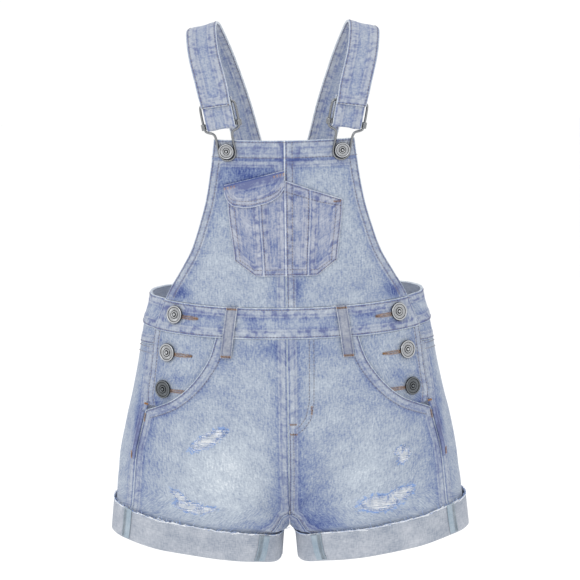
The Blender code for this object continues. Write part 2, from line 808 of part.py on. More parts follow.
def button(name, place, normal, radius, cap_gap, foot, colour):
    """Tack button: a dished cap with a raised rim, on a shank that meets the cloth.

    The cap's underside is cap_gap above the place, and the shank's foot is foot above it.
    """
    shank = radius * 0.38
    profile = (
        (0.0, cap_gap + 0.0022),
        (radius * 0.26, cap_gap + 0.0022),
        (radius * 0.36, cap_gap + 0.0015),
        (radius * 0.70, cap_gap + 0.0017),
        (radius * 0.86, cap_gap + 0.0024),
        (radius, cap_gap + 0.0016),
        (radius * 0.97, cap_gap + 0.0004),
        (radius * 0.85, cap_gap),
        (shank, cap_gap),
        (shank, foot),
        (0.0, foot),
    )
    made = bmesh.new()
    verts = [made.verts.new((r, 0, h)) for r, h in profile]
    for pair in zip(verts, verts[1:]):
        made.edges.new(pair)
    mesh = bpy.data.meshes.new(name)
    made.to_mesh(mesh)
    made.free()
    obj = added(name, mesh)
    screw = obj.modifiers.new("turned", "SCREW")
    screw.steps = 16
    screw.render_steps = 16
    screw.use_merge_vertices = True
    screw.merge_threshold = MERGE
    obj.location = place
    obj.rotation_mode = "QUATERNION"
    obj.rotation_quaternion = normal.to_track_quat("Z", "Y")
    return painted(obj, colour, 0.40, 1.0)


# Side buttons. Columns: name, turn, level
SIDE_BUTTONS = (
    ("waist", 0.286, -0.2652),
    ("upper", 0.292, -0.2990),
    ("lower", 0.291, -0.3327),
)
SIDE_BUTTON_RADIUS = 0.0085
SIDE_BUTTON_GAP = 0.0010
BIB_BUTTON_RADIUS = 0.0070
BIB_BUTTON_GAP = 0.0032


def side_buttons(side, word):
    """Three buttons down one side opening."""
    for row, turn, level in SIDE_BUTTONS:
        out = FRONT_BAND_OUT if row == "waist" else tucked(turn, level)
        normal = body_normal(turn, level)
        normal.x *= side
        colour = GUNMETAL if row == "lower" else ANTIQUE_SILVER
        place = body(side, turn, level, out)
        name = f"side_button_{row}_{word}"
        button(name, place, normal, SIDE_BUTTON_RADIUS, SIDE_BUTTON_GAP, 2 * SEAM_GAP, colour)


def bib_button(side, name):
    """Button that the buckle's ring is hooked over."""
    outward = buckle_frame_axes(side)[3]
    place = front(side * BUTTON_X, BUTTON_LEVEL)
    return button(name, place, outward, BIB_BUTTON_RADIUS, BIB_BUTTON_GAP, SEAM_GAP, ANTIQUE_SILVER)


for old in list(bpy.data.objects):
    bpy.data.objects.remove(old)
overalls = collection("denim_overalls")
cutters = collection("cutters")

for side, word in ((-1, "left"), (1, "right")):
    front_panel(side, f"front_panel_{word}")
    back_panel(side, f"back_panel_{word}")
    back_yoke(side, f"back_yoke_{word}")
    hip_piece(side, f"hip_piece_{word}")
    side_placket(side, f"side_placket_{word}")
    side_welt(side, f"side_welt_{word}")
    front_bib(side, f"front_bib_{word}")
    belt_loop(side, f"belt_loop_{word}")
    cuff(side, f"cuff_{word}")
    strap(side, f"strap_{word}")
    strap_loop(side, f"strap_loop_{word}")
    wire_frame(side, f"buckle_frame_{word}")
    slider_bar(side, f"slider_bar_{word}")
    bib_button(side, f"bib_button_{word}")
    side_buttons(side, word)
front_waistband()
back_waistband()
back_bib()
chest_pocket()
pocket_flap()
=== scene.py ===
"""Looks of a child's short denim overalls, filled out with no wearer."""
import json
import math

import bpy
import numpy as np
from mathutils import Matrix, Vector

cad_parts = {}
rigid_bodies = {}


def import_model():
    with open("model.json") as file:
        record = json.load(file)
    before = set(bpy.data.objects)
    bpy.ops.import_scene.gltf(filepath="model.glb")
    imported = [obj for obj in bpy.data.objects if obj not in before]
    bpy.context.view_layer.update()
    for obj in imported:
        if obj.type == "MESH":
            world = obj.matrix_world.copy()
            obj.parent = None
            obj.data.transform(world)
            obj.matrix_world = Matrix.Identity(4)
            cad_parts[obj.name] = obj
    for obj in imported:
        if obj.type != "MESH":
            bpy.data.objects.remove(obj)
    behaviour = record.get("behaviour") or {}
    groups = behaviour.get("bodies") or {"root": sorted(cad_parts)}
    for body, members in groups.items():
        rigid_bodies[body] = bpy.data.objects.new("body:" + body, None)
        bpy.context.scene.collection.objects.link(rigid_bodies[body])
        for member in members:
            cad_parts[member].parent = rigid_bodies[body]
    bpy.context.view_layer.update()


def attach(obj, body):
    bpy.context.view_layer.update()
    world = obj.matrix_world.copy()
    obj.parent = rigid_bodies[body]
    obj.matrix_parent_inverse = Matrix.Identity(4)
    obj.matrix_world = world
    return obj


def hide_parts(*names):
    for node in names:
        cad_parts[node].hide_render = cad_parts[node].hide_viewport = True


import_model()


# Room and camera
# The garment hangs by its straps in front of a white studio sweep, as for a shop's
# picture, so the floor is far below it. The light is soft, even and nearly white.
FLOOR_LEVEL = -0.86
FLOOR_SIZE = 14.0
CAMERA_PLACE = Vector((0.0033, -1.565, 0.0820))
CAMERA_TARGET = Vector((0.0033, 0.0, -0.2507))
CAMERA_ROLL = math.radians(-0.8)
LENS = 105.15
FLOOR_WHITE = "FCFCFC"


def linear(colour):
    """An sRGB hex colour as linear RGBA."""
    parts = [int(colour[k:k + 2], 16) / 255 for k in (0, 2, 4)]
    return (*[c / 12.92 if c <= 0.04045 else ((c + 0.055) / 1.055) ** 2.4 for c in parts], 1)


def add(tree, kind, links=(), **settings):
    """Add a node with its settings, and its inputs as links or values."""
    node = tree.nodes.new(kind)
    for name, value in settings.items():
        setattr(node, name, value)
    for socket, source in dict(links).items():
        if isinstance(source, bpy.types.NodeSocket):
            tree.links.new(source, node.inputs[socket])
        else:
            node.inputs[socket].default_value = source
    return node


def new_material(name):
    """An empty material with its output, and the tree."""
    material = bpy.data.materials.new(name)
    material.use_nodes = True
    material.node_tree.nodes.clear()
    return material, material.node_tree


def shown(tree, shader):
    add(tree, "ShaderNodeOutputMaterial", {"Surface": shader.outputs[0]})


paper, tree = new_material("matt white paper sweep")
fibres = add(tree, "ShaderNodeTexNoise", {"Scale": 6.0, "Detail": 2.0})
tone = add(tree, "ShaderNodeValToRGB", {"Fac": fibres.outputs["Fac"]})
tone.color_ramp.elements[0].color = linear("FAFAFA")
tone.color_ramp.elements[1].color = linear(FLOOR_WHITE)
shown(tree, add(tree, "ShaderNodeBsdfPrincipled",
                {"Base Color": tone.outputs["Color"], "Roughness": 0.95}))
half = FLOOR_SIZE / 2
corners = [(x, y, FLOOR_LEVEL) for x, y in ((-half, -half), (half, -half), (half, half), (-half, half))]
sweep = bpy.data.meshes.new("floor")
sweep.from_pydata(corners, [], [(0, 1, 2, 3)])
sweep.materials.append(paper)
floor = bpy.data.objects.new("floor", sweep)
bpy.context.scene.collection.objects.link(floor)

camera = bpy.data.objects.new("camera", bpy.data.cameras.new("camera"))
camera.data.lens = LENS
camera.location = CAMERA_PLACE
facing = (CAMERA_TARGET - CAMERA_PLACE).to_track_quat("-Z", "Y").to_matrix()
camera.rotation_euler = (facing @ Matrix.Rotation(CAMERA_ROLL, 3, "Z")).to_euler()
bpy.context.scene.collection.objects.link(camera)
bpy.context.scene.camera = camera
bpy.context.scene.view_settings.view_transform = "Standard"

world = bpy.data.worlds.new("studio")
world.use_nodes = True
world.node_tree.nodes["Background"].inputs["Color"].default_value = (1, 1, 1, 1)
world.node_tree.nodes["Background"].inputs["Strength"].default_value = 1.05
bpy.context.scene.world = world
# Columns: name, place, size, watts
LIGHTS = (
    ("key softbox", (-1.1, -1.9, 1.1), 1.2, 13),
    ("fill softbox", (1.5, -1.6, 0.3), 1.4, 2),
    ("back softbox", (0.3, 1.6, 1.0), 1.4, 6),
)
for name, place, size, watts in LIGHTS:
    lamp = bpy.data.objects.new(name, bpy.data.lights.new(name, "AREA"))
    lamp.data.size = size
    lamp.data.energy = watts
    lamp.location = place
    lamp.rotation_euler = (CAMERA_TARGET - Vector(place)).to_track_quat("-Z", "Y").to_euler()
    bpy.context.scene.collection.objects.link(lamp)


# Front legs
# Each is one cut piece of light washed twill, worn white on the thigh. Its pocket mouth is a
# scooped, turned edge with two rows of stitching. It is felled to the other at the centre.
DENIM = 0.0014
SEAM_GAP = 0.0003
TURN_GAP = 0.0004
LAYER_GAP = 0.0008
BIB_TOP = -0.1000
WAIST_TOP = -0.2530
WAIST_BOTTOM = -0.2815
TACK = -0.3555
CROSSING = -0.4380
CROTCH = -0.4565
CUFF_TOP = -0.4610
HEM = -0.4900

# Girth of the trunk. Columns: level, half width, front depth, back depth
SECTIONS = (
    (-0.100, 0.1270, 0.0730, 0.0680),
    (-0.180, 0.1240, 0.0690, 0.0630),
    (-0.253, 0.1275, 0.0660, 0.0620),
    (-0.283, 0.1355, 0.0700, 0.0700),
    (-0.315, 0.1415, 0.0730, 0.0780),
    (-0.362, 0.1515, 0.0740, 0.0840),
    (-0.410, 0.1600, 0.0710, 0.0820),
    (-0.459, 0.1670, 0.0640, 0.0740),
    (-0.490, 0.1705, 0.0600, 0.0680),
)
# One leg. Columns: level, inner side from the centre, front depth, back depth
LEG = (
    (-0.400, 0.0000, 0.0640, 0.0780),
    (CROTCH, 0.0000, 0.0560, 0.0700),
    (-0.458, 0.0045, 0.0558, 0.0698),
    (CUFF_TOP, 0.0078, 0.0550, 0.0690),
    (HEM, 0.0105, 0.0480, 0.0580),
)
# The hem hangs lower towards the inner leg. Columns: distance from the centre, drop
HEM_DROP = (
    (0.000, -0.0240),
    (0.010, -0.0220),
    (0.034, -0.0130),
    (0.077, -0.0055),
    (0.119, 0.0020),
    (0.157, 0.0080),
    (0.175, 0.0075),
)
SADDLE_Y = -0.006
NOTCH_TOP = -0.375
NOTCH_REACH = 0.075
FRONT_NOTCH_POWER = 1.65
BACK_NOTCH_POWER = 2.0
SIDE_FULLNESS = 0.10
LEGS_START = -0.385
LEGS_SPAN = 0.105
SLOPE_START = -0.395
SLOPE_SPAN = 0.062
WAIST_LIFT = 0.004
LIFT_START = -0.330
LIFT_SPAN = 0.075
MEAN_HALF_GIRTH = 0.42
CREASES_START = -0.340
CREASES_EASE = 0.030
CREASES_END_EASE = 0.020
# Creases of both legs. Columns: turn, level, lean in degrees, half length, half width, rise
CREASES = (
    (0.030, -0.418, 28, 0.028, 0.0070, 0.0022),
    (0.062, -0.430, 40, 0.030, 0.0080, -0.0020),
    (0.105, -0.436, 52, 0.034, 0.0100, 0.0016),
    (0.200, -0.405, 12, 0.040, 0.0220, 0.0018),
    (0.300, -0.430, -8, 0.036, 0.0180, -0.0016),
    (0.440, -0.385, -6, 0.045, 0.0160, -0.0020),
    (0.520, -0.400, 6, 0.050, 0.0180, 0.0024),
    (0.600, -0.430, 10, 0.040, 0.0180, -0.0020),
    (0.760, -0.425, -20, 0.040, 0.0160, 0.0024),
    (0.860, -0.418, -34, 0.036, 0.0120, -0.0026),
    (0.930, -0.412, -42, 0.030, 0.0100, 0.0026),
)
# Smaller creases of one leg. Columns: side, then as above
SMALL_CREASES = (
    (-1, 0.020, -0.426, 24, 0.014, 0.0030, 0.0010),
    (-1, 0.044, -0.432, 34, 0.018, 0.0032, -0.0011),
    (-1, 0.085, -0.440, 46, 0.016, 0.0040, 0.0008),
    (-1, 0.255, -0.376, 66, 0.022, 0.0040, 0.0006),
    (-1, 0.330, -0.395, 20, 0.016, 0.0040, 0.0008),
    (-1, 0.210, -0.447, 80, 0.026, 0.0046, 0.0006),
    (1, 0.016, -0.424, 22, 0.015, 0.0032, -0.0010),
    (1, 0.036, -0.430, 32, 0.020, 0.0034, 0.0011),
    (1, 0.078, -0.438, 48, 0.016, 0.0036, -0.0008),
    (1, 0.240, -0.372, 60, 0.020, 0.0040, 0.0006),
    (1, 0.318, -0.402, 14, 0.018, 0.0042, 0.0008),
    (1, 0.160, -0.449, 84, 0.024, 0.0044, 0.0006),
    (-1, 0.480, -0.420, 30, 0.030, 0.0060, 0.0012),
    (-1, 0.560, -0.372, -18, 0.030, 0.0060, -0.0010),
    (-1, 0.700, -0.400, -34, 0.036, 0.0060, 0.0012),
    (-1, 0.820, -0.436, -50, 0.030, 0.0052, -0.0012),
    (1, 0.500, -0.432, 22, 0.028, 0.0060, -0.0010),
    (1, 0.580, -0.380, -14, 0.034, 0.0060, 0.0012),
    (1, 0.720, -0.392, -30, 0.034, 0.0064, 0.0012),
    (1, 0.840, -0.430, -52, 0.030, 0.0052, -0.0012),
)
# Seam lines. Columns: level, turn
SIDE_SEAM = ((-0.281, 0.3560), (-0.355, 0.3460), (-0.400, 0.3640), (-0.458, 0.3860), (HEM, 0.3960))
INSEAM = ((CROSSING, 0.0), (-0.4565, 0.080), (CUFF_TOP, 0.092), (HEM, 0.118))
SCOOP = (
    (-0.2815, 0.1600),
    (-0.2980, 0.1700),
    (-0.3135, 0.1900),
    (-0.3305, 0.2230),
    (-0.3420, 0.2590),
    (-0.3500, 0.3050),
    (TACK, 0.3455),
)


def smooth(x):
    """Ease from 0 to 1."""
    x = np.clip(x, 0.0, 1.0)
    return x * x * (3 - 2 * x)


def mixed(low, high, part):
    return low + (high - low) * part


def along(table, column, x):
    """Smooth curve through one column of a table, read by the table's first column."""
    rows = np.array(sorted(table))
    xs, ys = rows[:, 0], rows[:, column]
    pace = np.diff(ys) / np.diff(xs)
    product = pace[:-1] * pace[1:]
    total = np.where(product > 0, pace[:-1] + pace[1:], 1.0)
    inner = np.where(product > 0, 2 * product / total, 0.0)
    slope = np.concatenate((pace[:1], inner, pace[-1:]))
    x = np.clip(x, xs[0], xs[-1])
    k = np.clip(np.searchsorted(xs, x, side="right") - 1, 0, len(xs) - 2)
    step = xs[k + 1] - xs[k]
    u = (x - xs[k]) / step
    start = (1 + 2 * u) * (1 - u) ** 2 * ys[k] + u * (1 - u) ** 2 * step * slope[k]
    end = u * u * (3 - 2 * u) * ys[k + 1] + u * u * (u - 1) * step * slope[k + 1]
    return start + end


def bare_body(turn, level):
    """The right half of the trunk, which parts into a leg at the crotch."""
    half_width = along(SECTIONS, 1, level)
    front = turn < 0.5
    depth = np.where(front, along(SECTIONS, 2, level), along(SECTIONS, 3, level))
    angle = math.pi * turn
    trunk_x = half_width * np.sin(angle)
    trunk_y = -depth * np.cos(angle) * (1 + SIDE_FULLNESS * np.sin(angle) ** 2)
    inner = along(LEG, 1, level)
    leg_depth = np.where(front, along(LEG, 2, level), along(LEG, 3, level))
    middle = (half_width + inner) / 2
    radius = (half_width - inner) / 2
    leg_x = middle - radius * np.cos(2 * angle)
    leg_y = -leg_depth * np.sin(2 * angle) * (1 + SIDE_FULLNESS * np.sin(4 * angle) ** 2)
    leg_y = leg_y + SADDLE_Y * (1 + np.cos(2 * angle)) / 2
    rise = np.clip((level - CROTCH) / (NOTCH_TOP - CROTCH), 0.0, 1.0)
    power = np.where(front, FRONT_NOTCH_POWER, BACK_NOTCH_POWER)
    at_centre = 1 - (1 - (1 - rise) ** power) ** (1 / power)
    at_leg = smooth((LEGS_START - level) / LEGS_SPAN)
    near = np.exp(-(np.minimum(turn, 1 - turn) / NOTCH_REACH) ** 2)
    blend = at_leg + (at_centre - at_leg) * near
    x = (1 - blend) * trunk_x + blend * leg_x
    y = (1 - blend) * trunk_y + blend * leg_y
    drop = smooth((SLOPE_START - level) / SLOPE_SPAN) * along(HEM_DROP, 1, x)
    lift = smooth((level - LIFT_START) / LIFT_SPAN) * WAIST_LIFT * (x / half_width) ** 2
    return np.stack((x, y, level + drop + lift), axis=-1)


def crease(side, turn, level):
    """How far the creases push the cloth out at a place."""
    push = 0.0
    small = [row[1:] for row in SMALL_CREASES if row[0] == side]
    for place, height, lean, length, width, rise in CREASES + tuple(small):
        across = (turn - place) * MEAN_HALF_GIRTH
        up = level - height
        angle = math.radians(lean)
        off = across * math.cos(angle) - up * math.sin(angle)
        run = across * math.sin(angle) + up * math.cos(angle)
        push = push + rise * np.exp(-(off / width) ** 2 - (run / length) ** 2)
    upper = smooth((CREASES_START - level) / CREASES_EASE)
    return push * upper * smooth((level - CUFF_TOP) / CREASES_END_EASE)


def body(side, turn, level, out=0.0):
    """Points of the cloth on one side (1 is the viewer's right), moved out."""
    turn, level, out = np.broadcast_arrays(np.asarray(turn, float), level, out)
    step = 0.0002
    girth = bare_body(np.minimum(turn + step, 1), level) - bare_body(np.maximum(turn - step, 0), level)
    rise = bare_body(turn, level + step) - bare_body(turn, level - step)
    normal = np.cross(girth, rise)
    normal /= np.linalg.norm(normal, axis=-1, keepdims=True)
    point = bare_body(turn, level) + normal * (out + crease(side, turn, level))[..., None]
    return point * (side, 1, 1)


def clear_of_centre(points, side):
    """Keep half the seam's gap from the centre."""
    points[..., 0] = side * np.maximum(side * points[..., 0], SEAM_GAP / 2)
    return points


def from_side(side, across):
    """Run a left piece's columns from its outer edge, so that its face points out."""
    return across if side > 0 else 1 - across


def inseam(level):
    return np.where(level < CROSSING, along(INSEAM, 1, level), 0.0)


# Distances of the rows of stitching from a finished edge, and what the turning adds there
STITCH_IN = 0.0017
STITCH_OUT = 0.0068
TURNING = 0.0085
TURNING_RISE = 0.0005
EDGE_ROLL = 0.0005
EDGE_STEPS = np.array((0.0, 0.0004, 0.0010, 0.0019, 0.0031, 0.0046, 0.0064, 0.0084, 0.0106))


def spaced(length, step):
    """Shares of a length, closer together at both ends."""
    reach = min(EDGE_STEPS[-1], 0.3 * length)
    near = EDGE_STEPS[:-1] * reach / EDGE_STEPS[-1]
    middle = np.linspace(reach, length - reach, max(int((length - 2 * reach) / step), 2))
    return np.concatenate((near, middle, length - near[::-1])) / length


def distance_to(points, lines):
    """Distance of each point from the nearest of some lines."""
    nearest = np.full(points.shape[:-1], 1.0)
    for line in lines:
        for start, run in zip(line[:-1], np.diff(line, axis=0)):
            part = np.clip((points - start) @ run / max(run @ run, 1e-12), 0, 1)
            gap = np.linalg.norm(points - start - part[..., None] * run, axis=-1)
            nearest = np.minimum(nearest, gap)
    return nearest


# Places that are paler or darker than the rest. The paler ones are worn. Of the darker ones, those
# under the buckles and the waistband, at the bib's lower corners, in the pocket mouths under the
# scoop edges and in the crotch between the legs are painted shade. Columns: -1 for the front and 1
# for the back, x, z, half width, half height, how much paler
WEAR_AND_PAINTED_SHADE = (
    (-1, -0.060, -0.412, 0.034, 0.038, 0.26),
    (-1, 0.068, -0.415, 0.028, 0.036, 0.15),
    (-1, -0.100, -0.440, 0.020, 0.020, 0.06),
    (-1, -0.128, -0.400, 0.016, 0.050, -0.07),
    (-1, 0.128, -0.400, 0.016, 0.050, -0.07),
    # Painted shade in the crotch between the legs and under the waistband
    (-1, 0.020, -0.438, 0.022, 0.050, -0.22),
    (-1, 0.000, -0.292, 0.075, 0.010, -0.16),
    (-1, -0.040, -0.468, 0.024, 0.010, -0.12),
    (-1, 0.040, -0.468, 0.024, 0.010, -0.12),
    (-1, -0.070, -0.330, 0.020, 0.024, -0.05),
    (-1, 0.070, -0.330, 0.020, 0.024, -0.05),
    # Painted shade at the bib's lower corners and under the buckles
    (-1, -0.100, -0.242, 0.014, 0.007, -0.34),
    (-1, 0.100, -0.242, 0.014, 0.007, -0.34),
    (-1, -0.034, -0.130, 0.030, 0.010, -0.34),
    (-1, 0.008, -0.120, 0.010, 0.006, -0.26),
    (-1, 0.052, -0.121, 0.010, 0.004, -0.20),
    (-1, 0.030, -0.170, 0.040, 0.040, 0.03),
    (-1, -0.060, -0.215, 0.020, 0.022, 0.05),
    (-1, 0.040, -0.236, 0.040, 0.006, -0.08),
    (-1, 0.008, -0.232, 0.007, 0.010, -0.22),
    (-1, -0.026, -0.1085, 0.007, 0.0050, -0.26),
    (-1, -0.013, -0.1070, 0.004, 0.0060, -0.20),
    (-1, -0.039, -0.1090, 0.004, 0.0030, -0.18),
    (-1, -0.0030, -0.1090, 0.0022, 0.0090, -0.34),
    (-1, 0.0120, -0.1090, 0.0020, 0.0080, -0.30),
    (-1, 0.034, -0.1080, 0.005, 0.0030, -0.16),
    (-1, -0.044, -0.1405, 0.014, 0.0035, -0.32),
    (-1, -0.018, -0.1340, 0.014, 0.0035, -0.32),
    # Painted shade in the crotch
    (-1, -0.012, -0.434, 0.008, 0.040, -0.10),
    (-1, 0.030, -0.460, 0.022, 0.012, -0.10),
    # Painted shade in the left pocket mouth, under the scoop edge
    (-1, -0.118, -0.350, 0.016, 0.010, -0.16),
    # Darker strips on the side welts
    (-1, -0.1415, -0.380, 0.0045, 0.028, -0.36),
    (-1, 0.1415, -0.380, 0.0045, 0.028, -0.36),
    # Painted shade in the right pocket mouth, under the scoop edge
    (-1, 0.118, -0.350, 0.016, 0.010, -0.16),
    (-1, -0.104, -0.322, 0.016, 0.006, -0.16),
    (-1, 0.104, -0.322, 0.016, 0.006, -0.16),
    (1, -0.070, -0.385, 0.036, 0.036, 0.20),
    (1, 0.070, -0.385, 0.036, 0.036, 0.20),
    # Painted shade in the crotch
    (1, 0.000, -0.440, 0.016, 0.040, -0.16),
    (1, -0.120, -0.420, 0.020, 0.050, -0.06),
    (1, 0.120, -0.420, 0.020, 0.050, -0.06),
)
MEAN_WEAR = 0.50


def wear_and_shade(points):
    """How pale the cloth is, from 0, indigo, to 1, white: paler where it is worn, darker where shade is
    painted.
    """
    worn = np.full(points.shape[:-1], MEAN_WEAR)
    for face, x, z, width, height, paler in WEAR_AND_PAINTED_SHADE:
        near = np.exp(-((points[..., 0] - x) / width) ** 2 - ((points[..., 2] - z) / height) ** 2)
        worn += paler * near * smooth(0.5 + face * points[..., 1] / 0.03)
    return worn


# Worn holes in the fronts. Columns: x and z of the middle, half length, half height,
# slant in degrees
RIPS = (
    (-0.0740, -0.3770, 0.0170, 0.0050, 32),
    (-0.0630, -0.3690, 0.0070, 0.0032, 10),
    (-0.1020, -0.4360, 0.0100, 0.0030, -42),
    (-0.0930, -0.4450, 0.0130, 0.0048, -12),
    (-0.0800, -0.4470, 0.0100, 0.0030, 4),
    (0.0850, -0.4430, 0.0170, 0.0075, 4),
    (0.1030, -0.4360, 0.0130, 0.0058, 24),
    (0.1070, -0.3975, 0.0066, 0.0042, 64),
    (0.1030, -0.3915, 0.0046, 0.0030, 30),
)


def ripped(points):
    """Above 0 inside and just round the worn holes: 1 in the middle, 0 past the edge."""
    most = np.zeros(points.shape[:-1])
    for x, z, length, height, slant in RIPS:
        angle = math.radians(slant)
        across, up = points[..., 0] - x, points[..., 2] - z
        run = across * math.cos(angle) + up * math.sin(angle)
        off = up * math.cos(angle) - across * math.sin(angle)
        inside = 1.6 - np.hypot(run / length, off / height)
        most = np.maximum(most, np.where(points[..., 1] < 0, inside, 0))
    return most


def grain(tree, weave, wide, high, detail=2.0):
    """Threads or blotches: noise on the weave map, with this many grains to the metre."""
    place = add(tree, "ShaderNodeVectorMath", {0: weave, 1: (wide, high, 1)}, operation="MULTIPLY")
    noise = add(tree, "ShaderNodeTexNoise", {"Vector": place.outputs[0], "Scale": 1.0, "Detail": detail})
    return noise.outputs["Fac"]


# The seam ramp runs over 20 mm from a finished edge. Its middle grey changes nothing. The pale
# line on the fold is worn white and also a painted highlight. The dark bands at the stitch rows and
# just past the turning are painted shade in the grooves and below the turning's step, over darker indigo.
# Columns: distance in mm, grey
SEAM_RAMP_MM = 20.0
SEAM_RAMP = (
    (0.0, 0.84),
    (0.5, 0.74),
    (1.0, 0.22),
    (2.0, 0.28),
    (2.8, 0.52),
    (5.4, 0.50),
    (6.2, 0.32),
    (7.4, 0.38),
    (8.2, 0.53),
    (9.0, 0.30),
    (12.0, 0.42),
    (SEAM_RAMP_MM, 0.50),
)
SEAM_GREY = 0.24


def denim(name, tones, streak=0.62, mottle=0.45, rope=0.16):
    """Washed indigo twill: blue warp streaks over white weft, paler where it is worn.

    It reads the weave map, in metres, and how worn, ripped and far from a seam it is. Its worn tone also
    holds painted shade.
    """
    material, tree = new_material(name)
    weave = add(tree, "ShaderNodeUVMap", uv_map="weave").outputs["UV"]
    # The worn tone also holds painted shade under the buckles, waistband and scoops and in the crotch
    worn = add(tree, "ShaderNodeAttribute", attribute_name="worn").outputs["Fac"]
    seam = add(tree, "ShaderNodeAttribute", attribute_name="seam_mm").outputs["Fac"]
    hole = add(tree, "ShaderNodeAttribute", attribute_name="ripped").outputs["Fac"]

    # Warp and weft are 0.4 mm apart. They are drawn 1.5 mm apart, which is what shows.
    warp = grain(tree, weave, 700, 190)
    slub = grain(tree, weave, 260, 40)
    lines = grain(tree, weave, 480, 640)
    cloud = grain(tree, weave, 60, 60, 4.0)
    patch = grain(tree, weave, 150, 190)
    tone = worn
    for texture, amount in ((warp, streak), (slub, 0.12), (lines, 0.55), (cloud, mottle)):
        centred = add(tree, "ShaderNodeMath", {0: texture, 1: 0.5}, operation="SUBTRACT")
        tone = add(tree, "ShaderNodeMath", {0: centred.outputs[0], 1: amount, 2: tone},
                   operation="MULTIPLY_ADD").outputs[0]

    # Seams: a pale line on the fold, worn white and painted highlight, and painted shade at the stitches and
    # beyond the turning
    from_edge = add(tree, "ShaderNodeMath", {0: seam, 1: SEAM_RAMP_MM}, operation="DIVIDE").outputs[0]
    profile = add(tree, "ShaderNodeValToRGB", {"Fac": from_edge})
    ramp = profile.color_ramp
    for at, grey in SEAM_RAMP[1:-1]:
        ramp.elements.new(at / SEAM_RAMP_MM)
    for element, (at, grey) in zip(ramp.elements, SEAM_RAMP):
        element.position = at / SEAM_RAMP_MM
        element.color = (grey, grey, grey, 1)
    shift = add(tree, "ShaderNodeMath", {0: profile.outputs["Color"], 1: 0.5}, operation="SUBTRACT")
    tone = add(tree, "ShaderNodeMath", {0: shift.outputs[0], 1: tone}, operation="ADD")
    # The turning is uneven under the cloth, so it wears in patches and looks greyer
    in_band = add(tree, "ShaderNodeMapRange", {"Value": seam, "From Min": 10.5, "From Max": 7.5})
    off_edge = add(tree, "ShaderNodeMapRange", {"Value": seam, "From Min": 0.9, "From Max": 1.8})
    banded = add(tree, "ShaderNodeMath", {0: in_band.outputs[0], 1: off_edge.outputs[0]},
                 operation="MULTIPLY")
    spots = add(tree, "ShaderNodeMapRange", {"Value": patch, "From Min": 0.46, "From Max": 0.66,
                                             "To Min": 0.06, "To Max": -rope})
    roped = add(tree, "ShaderNodeMath", {0: banded.outputs[0], 1: spots.outputs[0], 2: tone.outputs[0]},
                operation="MULTIPLY_ADD")
    colour = add(tree, "ShaderNodeValToRGB", {"Fac": roped.outputs[0]})
    places = (0.0, 0.25, 0.5, 0.75, 1.0)
    for at in places[1:-1]:
        colour.color_ramp.elements.new(at)
    for element, at, code in zip(colour.color_ramp.elements, places, tones):
        element.position = at
        element.color = linear(code)
    grey_share = add(tree, "ShaderNodeMath", {0: banded.outputs[0], 1: SEAM_GREY}, operation="MULTIPLY")
    cloth_colour = add(tree, "ShaderNodeMix", {"Factor": grey_share.outputs[0], 6: colour.outputs["Color"],
                                               7: linear("A2A4B0")}, data_type="RGBA")

    # Holes: pale weft threads lie bare, with blue at their ragged edge
    ragged = grain(tree, weave, 330, 330, 3.0)
    torn = add(tree, "ShaderNodeMath", {0: ragged, 1: 1.9, 2: hole}, operation="MULTIPLY_ADD")
    fringe = add(tree, "ShaderNodeMapRange", {"Value": torn.outputs[0], "From Min": 1.15, "From Max": 1.55})
    bare = add(tree, "ShaderNodeMapRange", {"Value": torn.outputs[0], "From Min": 1.60, "From Max": 1.90})
    some = add(tree, "ShaderNodeMath", {0: hole, 1: 0.001}, operation="GREATER_THAN")
    fringe = add(tree, "ShaderNodeMath", {0: fringe.outputs[0], 1: some.outputs[0]}, operation="MULTIPLY")
    bare = add(tree, "ShaderNodeMath", {0: bare.outputs[0], 1: some.outputs[0]}, operation="MULTIPLY")
    threads = add(tree, "ShaderNodeValToRGB", {"Fac": grain(tree, weave, 70, 900)})
    threads.color_ramp.elements[0].position = 0.36
    threads.color_ramp.elements[0].color = linear("B4BFD0")
    threads.color_ramp.elements[1].position = 0.60
    threads.color_ramp.elements[1].color = linear("E3E6EA")
    blue = add(tree, "ShaderNodeMix", {"Factor": fringe.outputs[0], 6: cloth_colour.outputs[2],
                                       7: linear("7A97CA")}, data_type="RGBA")
    final = add(tree, "ShaderNodeMix", {"Factor": bare.outputs[0], 6: blue.outputs[2],
                                        7: threads.outputs["Color"]}, data_type="RGBA")

    relief = add(tree, "ShaderNodeMath", {0: warp, 1: 0.5, 2: lines}, operation="MULTIPLY_ADD")
    pucker = add(tree, "ShaderNodeMath", {0: patch, 1: banded.outputs[0]}, operation="MULTIPLY")
    relief = add(tree, "ShaderNodeMath", {0: pucker.outputs[0], 1: 1.8, 2: relief.outputs[0]},
                 operation="MULTIPLY_ADD")
    bump = add(tree, "ShaderNodeBump", {"Height": relief.outputs[0], "Distance": 0.0004, "Strength": 0.7})
    shown(tree, add(tree, "ShaderNodeBsdfPrincipled",
                    {"Base Color": final.outputs[2], "Roughness": 0.9, "Specular IOR Level": 0.25,
                     "Sheen Weight": 0.12, "Sheen Roughness": 0.5, "Normal": bump.outputs[0]}))
    return material


